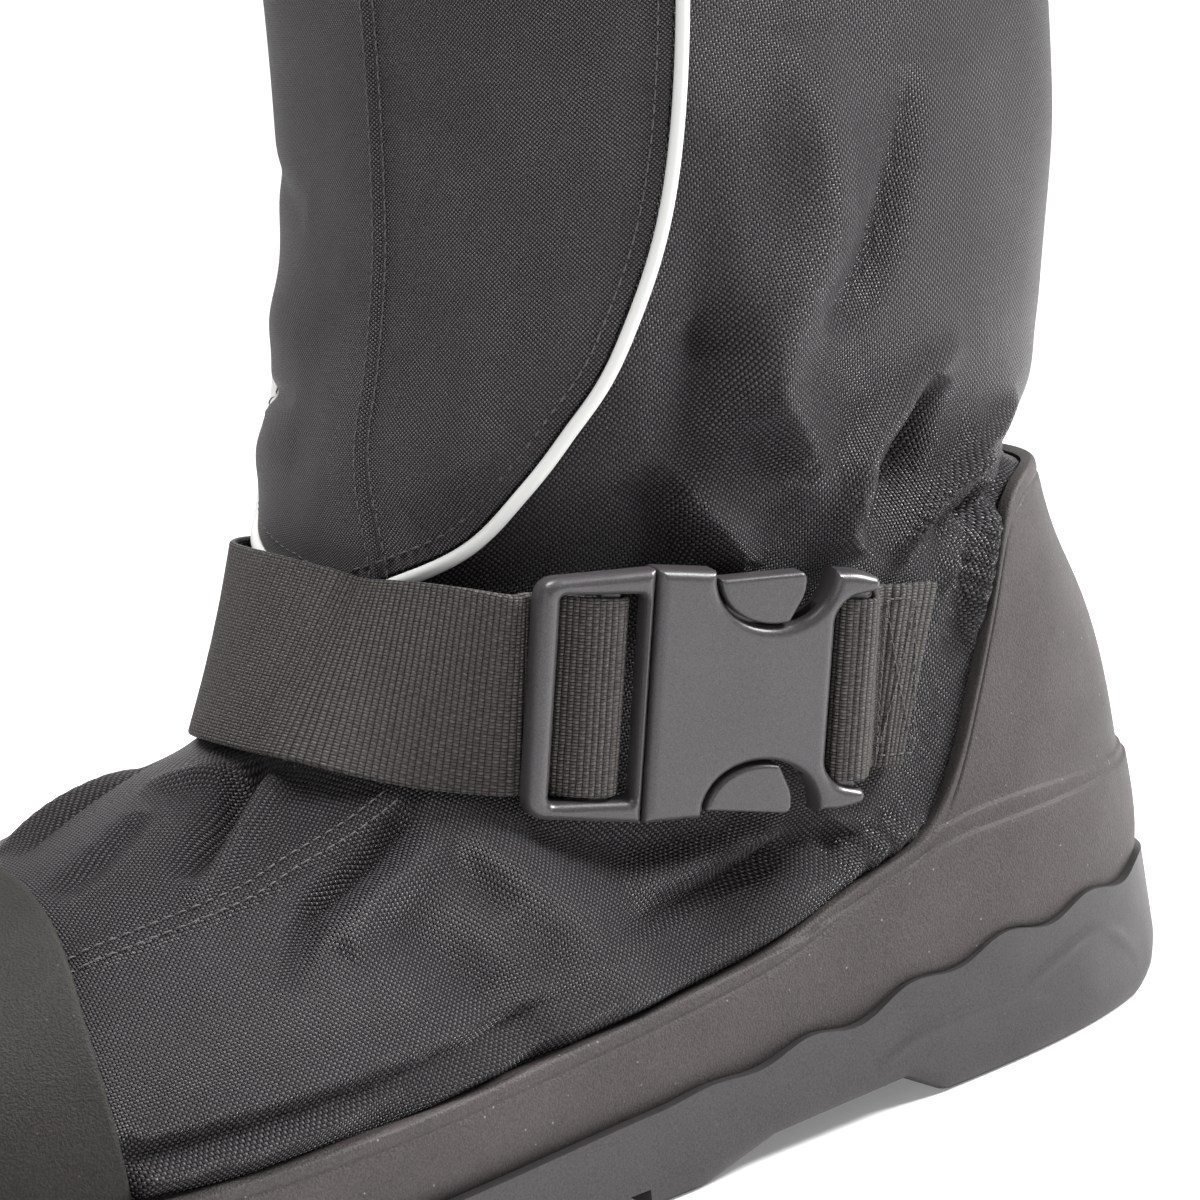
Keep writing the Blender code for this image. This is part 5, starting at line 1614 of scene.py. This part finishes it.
def make_female():
    side = [(MOUTH + GAP, MOUTH_HALF)] + scallop_line()
    side += [(PLATE_END + 0.0002, HALF - 0.0009), (PLATE_END + HORN_LENGTH * 0.45, HORN_HALF + 0.0012)]
    side += [(BUCKLE_LENGTH / 2, HORN_HALF)]
    side += [(BUCKLE_LENGTH / 2, HORN_HALF - 0.0024)]
    side += [(PLATE_END + HORN_LENGTH * 0.28, HORN_HALF - RAIL * 0.86)]
    side += [(PLATE_END, HORN_HALF - RAIL - HORN_LENGTH * 0.30)]
    radii = [0.0005] + [0] * 34 + [0.004, 0.003, 0.0016, 0.0016, 0.0030, 0.0016]
    outline = rounded_corners(side + [(x, -y) for x, y in reversed(side)], radii + radii[::-1])
    female = cushion("buckle_female_shell", [outline], BODY_BOTTOM, BODY_TOP, PLATE_ROUND)
    pocket = bmesh.new()
    inside = rectangle(MOUTH - 2 * BODY_WALL, PLATE_END - SIDE_WALL, HALF - SIDE_WALL)
    floor = BODY_BOTTOM + BODY_WALL
    prism(pocket, [(x, y, floor) for x, y in inside], (0, 0, POCKET_TOP - floor))
    cut(female, [solid("female_hollow", pocket)])
    cut(female, [bar("female_bar", FEMALE_BAR, HORN_HALF - RAIL / 2)], "UNION")
    return female


def make_male():
    frame_line = [(LEFT_END, -LEFT_HALF), (MOUTH, -MOUTH_HALF), (MOUTH, MOUTH_HALF), (LEFT_END, LEFT_HALF)]
    outline = rounded_corners(frame_line, [0.0042, 0.0004, 0.0004, 0.0042])
    window = rounded_corners(rectangle(LEFT_END + FRAME_BAR, MOUTH - MOUTH_BAR, HALF - RAIL), [0.0012] * 4)
    parts = [cushion("male_frame", [outline, window], FRAME_BOTTOM, FRAME_TOP, FRAME_ROUND),
             bar("male_bar", MALE_BAR, HALF - RAIL / 2)]
    start, bottom = MOUTH - MOUTH_BAR / 2, BODY_BOTTOM + BODY_WALL + GAP
    pad = scallop_line(0.0006, 0.12, 1.85)
    pad += [(0.0176, HALF - 0.0078), (0.0192, HALF - 0.0048), (0.0194, HALF - 0.0018)]
    pad += [(0.0186, HALF - GAP - 0.0003)]
    arm = [(start, 0.0145), (0.004, 0.0120), (0.0150, 0.0136), (0.0150, 0.0165), (0.004, 0.0172)]
    arm += [(start, 0.0195)]
    for side in (1, -1):
        pad_line, arm_line = [[(x, y * side) for x, y in line] for line in (pad, arm)]
        pad_line = rounded_corners(pad_line, [0] * 33 + [0.001, 0.003, 0.003, 0.002, 0.0012])
        parts.append(cushion("male_pad", [pad_line], bottom, PAD_TOP, PAD_ROUND))
        parts.append(cushion("male_arm", [arm_line], bottom, POCKET_TOP - GAP, ARM_ROUND))
    return object_of("buckle_male_frame", joined(parts))


plastic = moulded("buckle_plastic", (0.050, 0.045, 0.048), (0.10, 0.10, 0.10), 0.00030, 0.15, 0.10, 0.33,
                  0.00003, Coat_Weight=0.10, Coat_Roughness=0.25)
for half, node in ((make_female(), "buckle_female"), (make_male(), "buckle_male")):
    smooth(half, radians(40))
    set_in_buckle(half)
    dress(half, plastic, "buckle_plastic", node)

# Stitches
# Waxed thread: double rows down the flap and along the vamp's seams, one row beside the piping and
# one around the hem, and a crossed box at the short strap's sewn end.
THREAD_RADIUS = 0.00017
STITCH_PITCH = 0.0027
STITCH_LENGTH = 0.0019
HEM_STITCHES = (0.0032, 0.0023)
HEM_ROW = 0.10
BOX_STITCHES = (0.0021, 0.0015)
# How far rows lie aside from the flap's seam, the flap's edge and the vamp's seam
FLAP_SEAM_ASIDE = 0.0019
FLAP_EDGE_ASIDE = 0.0030
VAMP_ASIDE = 0.0015
LINE_POINTS = 400
# A stitch's rings: place along it, height in thread radii and share of the thread's radius
STITCH_RINGS = [(-0.5, -1.2, 0.7), (-0.32, 0.5, 1.0), (0, 0.9, 1.0), (0.32, 0.5, 1.0), (0.5, -1.2, 0.7)]
STITCH_SIDES = 6


def stitch_row(line, normals, pitch=STITCH_PITCH, length=STITCH_LENGTH):
    """Rings of points for every stitch of a row: stitches by rings by sides."""
    run = run_along(line)
    middles = np.arange(pitch / 2, run[-1] - pitch / 2, pitch)
    angles = np.arange(STITCH_SIDES)[:, None] / STITCH_SIDES * 2 * pi
    stitches = []
    for offset, height, size in STITCH_RINGS:
        places = middles + offset * length
        centre, out = carried(places, run, line), unit(carried(places, run, normals))
        ahead = carried(places + 0.0002, run, line) - centre
        aside = unit(np.cross(unit(ahead + 1e-9), out))
        ring = aside[:, None] * np.cos(angles) + out[:, None] * np.sin(angles)
        stitches.append(centre[:, None] + out[:, None] * height * THREAD_RADIUS + ring * size * THREAD_RADIUS)
    return np.stack(stitches, 1)


def stitched(name, rows):
    """All the stitches of these rows as one mesh."""
    stitches = np.concatenate([row.reshape(len(row), -1, 3) for row in rows])
    faces = []
    for ring in range(len(STITCH_RINGS) - 1):
        low, high = ring * STITCH_SIDES, (ring + 1) * STITCH_SIDES
        for side in range(STITCH_SIDES):
            after = (side + 1) % STITCH_SIDES
            faces.append((low + side, high + side, high + after, low + after))
    firsts = np.arange(len(stitches)) * stitches.shape[1]
    every = (np.array(faces) + firsts[:, None, None]).reshape(-1, 4)
    mesh = bpy.data.meshes.new(name)
    mesh.from_pydata(stitches.reshape(-1, 3).tolist(), [], every.tolist())
    mesh.shade_smooth()
    return object_of(name, mesh)


def on_cloth(places, lift, aside):
    """A line over the cloth through sections and turns, moved aside along it, with its normals."""
    station, turn = curve(places, LINE_POINTS).T
    line, normals = cloth(station, turn, lift), outward(station, turn)
    return line + unit(np.cross(unit(np.gradient(line, axis=0)), normals)) * aside, normals


def flap_rows():
    lift = FLAP_GAP + FLAP_THICK + SEAM_RIDGE
    middle = [(station, flap_seam(station)) for station in np.linspace(11.0, HEM_START - 0.1, 24)]
    rows = [stitch_row(*on_cloth(middle, lift, aside)) for aside in (-FLAP_SEAM_ASIDE, FLAP_SEAM_ASIDE)]
    edge = flap_edge(60)
    for side in (-1, 1):
        wider = flap_inner(edge[:, 0]) if side > 0 else np.ones(60)
        line = np.stack([edge[:, 0], FLAP_CENTRE + side * edge[:, 1] * wider], -1)[2:]
        rows.append(stitch_row(*on_cloth(line, FLAP_GAP + FLAP_THICK, side * FLAP_EDGE_ASIDE)))
    return rows


def vamp_rows():
    rows = []
    for mirrored in (False, True):
        line = [(s, 1 - t if mirrored else t) for s, t in VAMP_SEAM]
        rows += [stitch_row(*on_cloth(line, SEAM_RISE * 0.2, aside)) for aside in (-VAMP_ASIDE, VAMP_ASIDE)]
    return rows


def sewn_rows():
    """A box with a cross on the short strap's end."""
    reach = SHORT_WIDTH / 2 - 0.0025
    corners = [(0.14, -reach), (0.14, reach), (0.88, reach), (0.88, -reach)]
    rows = []
    for a, b in ((0, 1), (1, 2), (2, 3), (3, 0), (0, 2), (1, 3)):
        share = np.linspace(0, 1, 60)[:, None]
        spots = np.array(corners[a]) * (1 - share) + np.array(corners[b]) * share
        centre, across, out = [carried(spots[:, 0] * 2, [0, 1, 2], part)
                               for part in (sewn_line, sewn_across, sewn_out)]
        slant = unit(np.cross(across, out))
        slant *= np.sign(slant @ ALONG)[:, None]
        lean = spots[:, 1:] * STRAP_SLANT * (2 * spots[:, :1] - 1) * -0.2
        line = centre + across * spots[:, 1:] + out * (WEB_THICK / 2 - 0.0001) + slant * lean
        rows.append(stitch_row(line, out, *BOX_STITCHES))
    return rows


def hem_row():
    turns = np.linspace(0, 1, 500)
    station = np.full(len(turns), HEM_START + HEM_EDGE + HEM_ROW)
    return [stitch_row(cloth(station, turns), outward(station, turns), *HEM_STITCHES)]


thread = new_material("thread", Base_Color=(0.085, 0.078, 0.078, 1), Roughness=0.55)[0]
dress(stitched("shaft_stitches", flap_rows() + hem_row()), thread, "fine_nylon")
dress(stitched("vamp_stitches", vamp_rows()), thread, "nylon")
dress(stitched("strap_stitches", sewn_rows()), thread, "webbing")

# Stage
# A pale floor that runs up into a pale wall, a soft key light from the heel's side, a larger light
# over the shoe and a weak fill from the front.
CAMERA_PLACE = (0.48439533, 0.75794259, 0.26363735)
CAMERA_AZIMUTH = radians(29.3696)
CAMERA_ELEVATION = radians(10.5689)
CAMERA_ROLL = radians(-9.5859)
CAMERA_LENS = 132.46


def make_backdrop():
    """A sweep of paper behind the shoe, level near it."""
    way = np.array([-sin(CAMERA_AZIMUTH), -cos(CAMERA_AZIMUTH), 0])
    aside = np.array([-cos(CAMERA_AZIMUTH), sin(CAMERA_AZIMUTH), 0])
    profile = [(-4.0, 0.0), (1.2, 0.0)]
    profile += [(1.2 + 0.8 * sin(a), 0.8 * (1 - cos(a))) for a in np.linspace(0, pi / 2, 17)[1:]]
    profile += [(2.0, 4.0)]
    rows = [way * far + [0, 0, up] for far, up in profile]
    points = np.array([[row + aside * side for side in (-5.0, 5.0)] for row in rows])
    return grid_piece("backdrop", points, closed=(False, False))


def add_light(name, place, size, power):
    light = bpy.data.lights.new(name, "AREA")
    light.shape = "DISK"
    light.size = size
    light.energy = power
    item = object_of(name, light)
    item.location = place
    item.rotation_euler = (Vector((0.06, 0, 0.12)) - Vector(place)).to_track_quat("-Z", "Y").to_euler()
    return item


def add_camera():
    data = bpy.data.cameras.new("photo_camera")
    data.lens = CAMERA_LENS
    data.sensor_width = 36
    data.clip_start = 0.05
    item = object_of("photo_camera", data)
    back = Vector((sin(CAMERA_AZIMUTH) * cos(CAMERA_ELEVATION), cos(CAMERA_AZIMUTH) * cos(CAMERA_ELEVATION),
                   sin(CAMERA_ELEVATION)))
    level = Vector((-cos(CAMERA_AZIMUTH), sin(CAMERA_AZIMUTH), 0))
    up = back.cross(level)
    right = level * cos(CAMERA_ROLL) + up * sin(CAMERA_ROLL)
    top = up * cos(CAMERA_ROLL) - level * sin(CAMERA_ROLL)
    turned = Matrix((right, top, back)).transposed().to_4x4()
    item.matrix_world = Matrix.Translation(CAMERA_PLACE) @ turned
    bpy.context.scene.camera = item


backdrop = make_backdrop()
paper = new_material("backdrop_paper", Roughness=0.9, Base_Color=(0.84, 0.84, 0.84, 1),
                     Emission_Color=(1, 0.99, 0.99, 1), Emission_Strength=0.20)[0]
backdrop.data.materials.append(paper)
add_light("side_key", (-1.05, 0.50, 1.05), 0.55, 44)
add_light("top", (0.15, -0.05, 1.5), 0.8, 26)
add_light("front_fill", (1.2, 0.9, 0.5), 0.8, 3)
world = bpy.data.worlds.new("pale_room")
world.use_nodes = True
world.node_tree.nodes["Background"].inputs["Color"].default_value = (0.9, 0.92, 0.95, 1)
world.node_tree.nodes["Background"].inputs["Strength"].default_value = 0.17
bpy.context.scene.world = world
bpy.context.scene.view_settings.view_transform = "Standard"
add_camera()
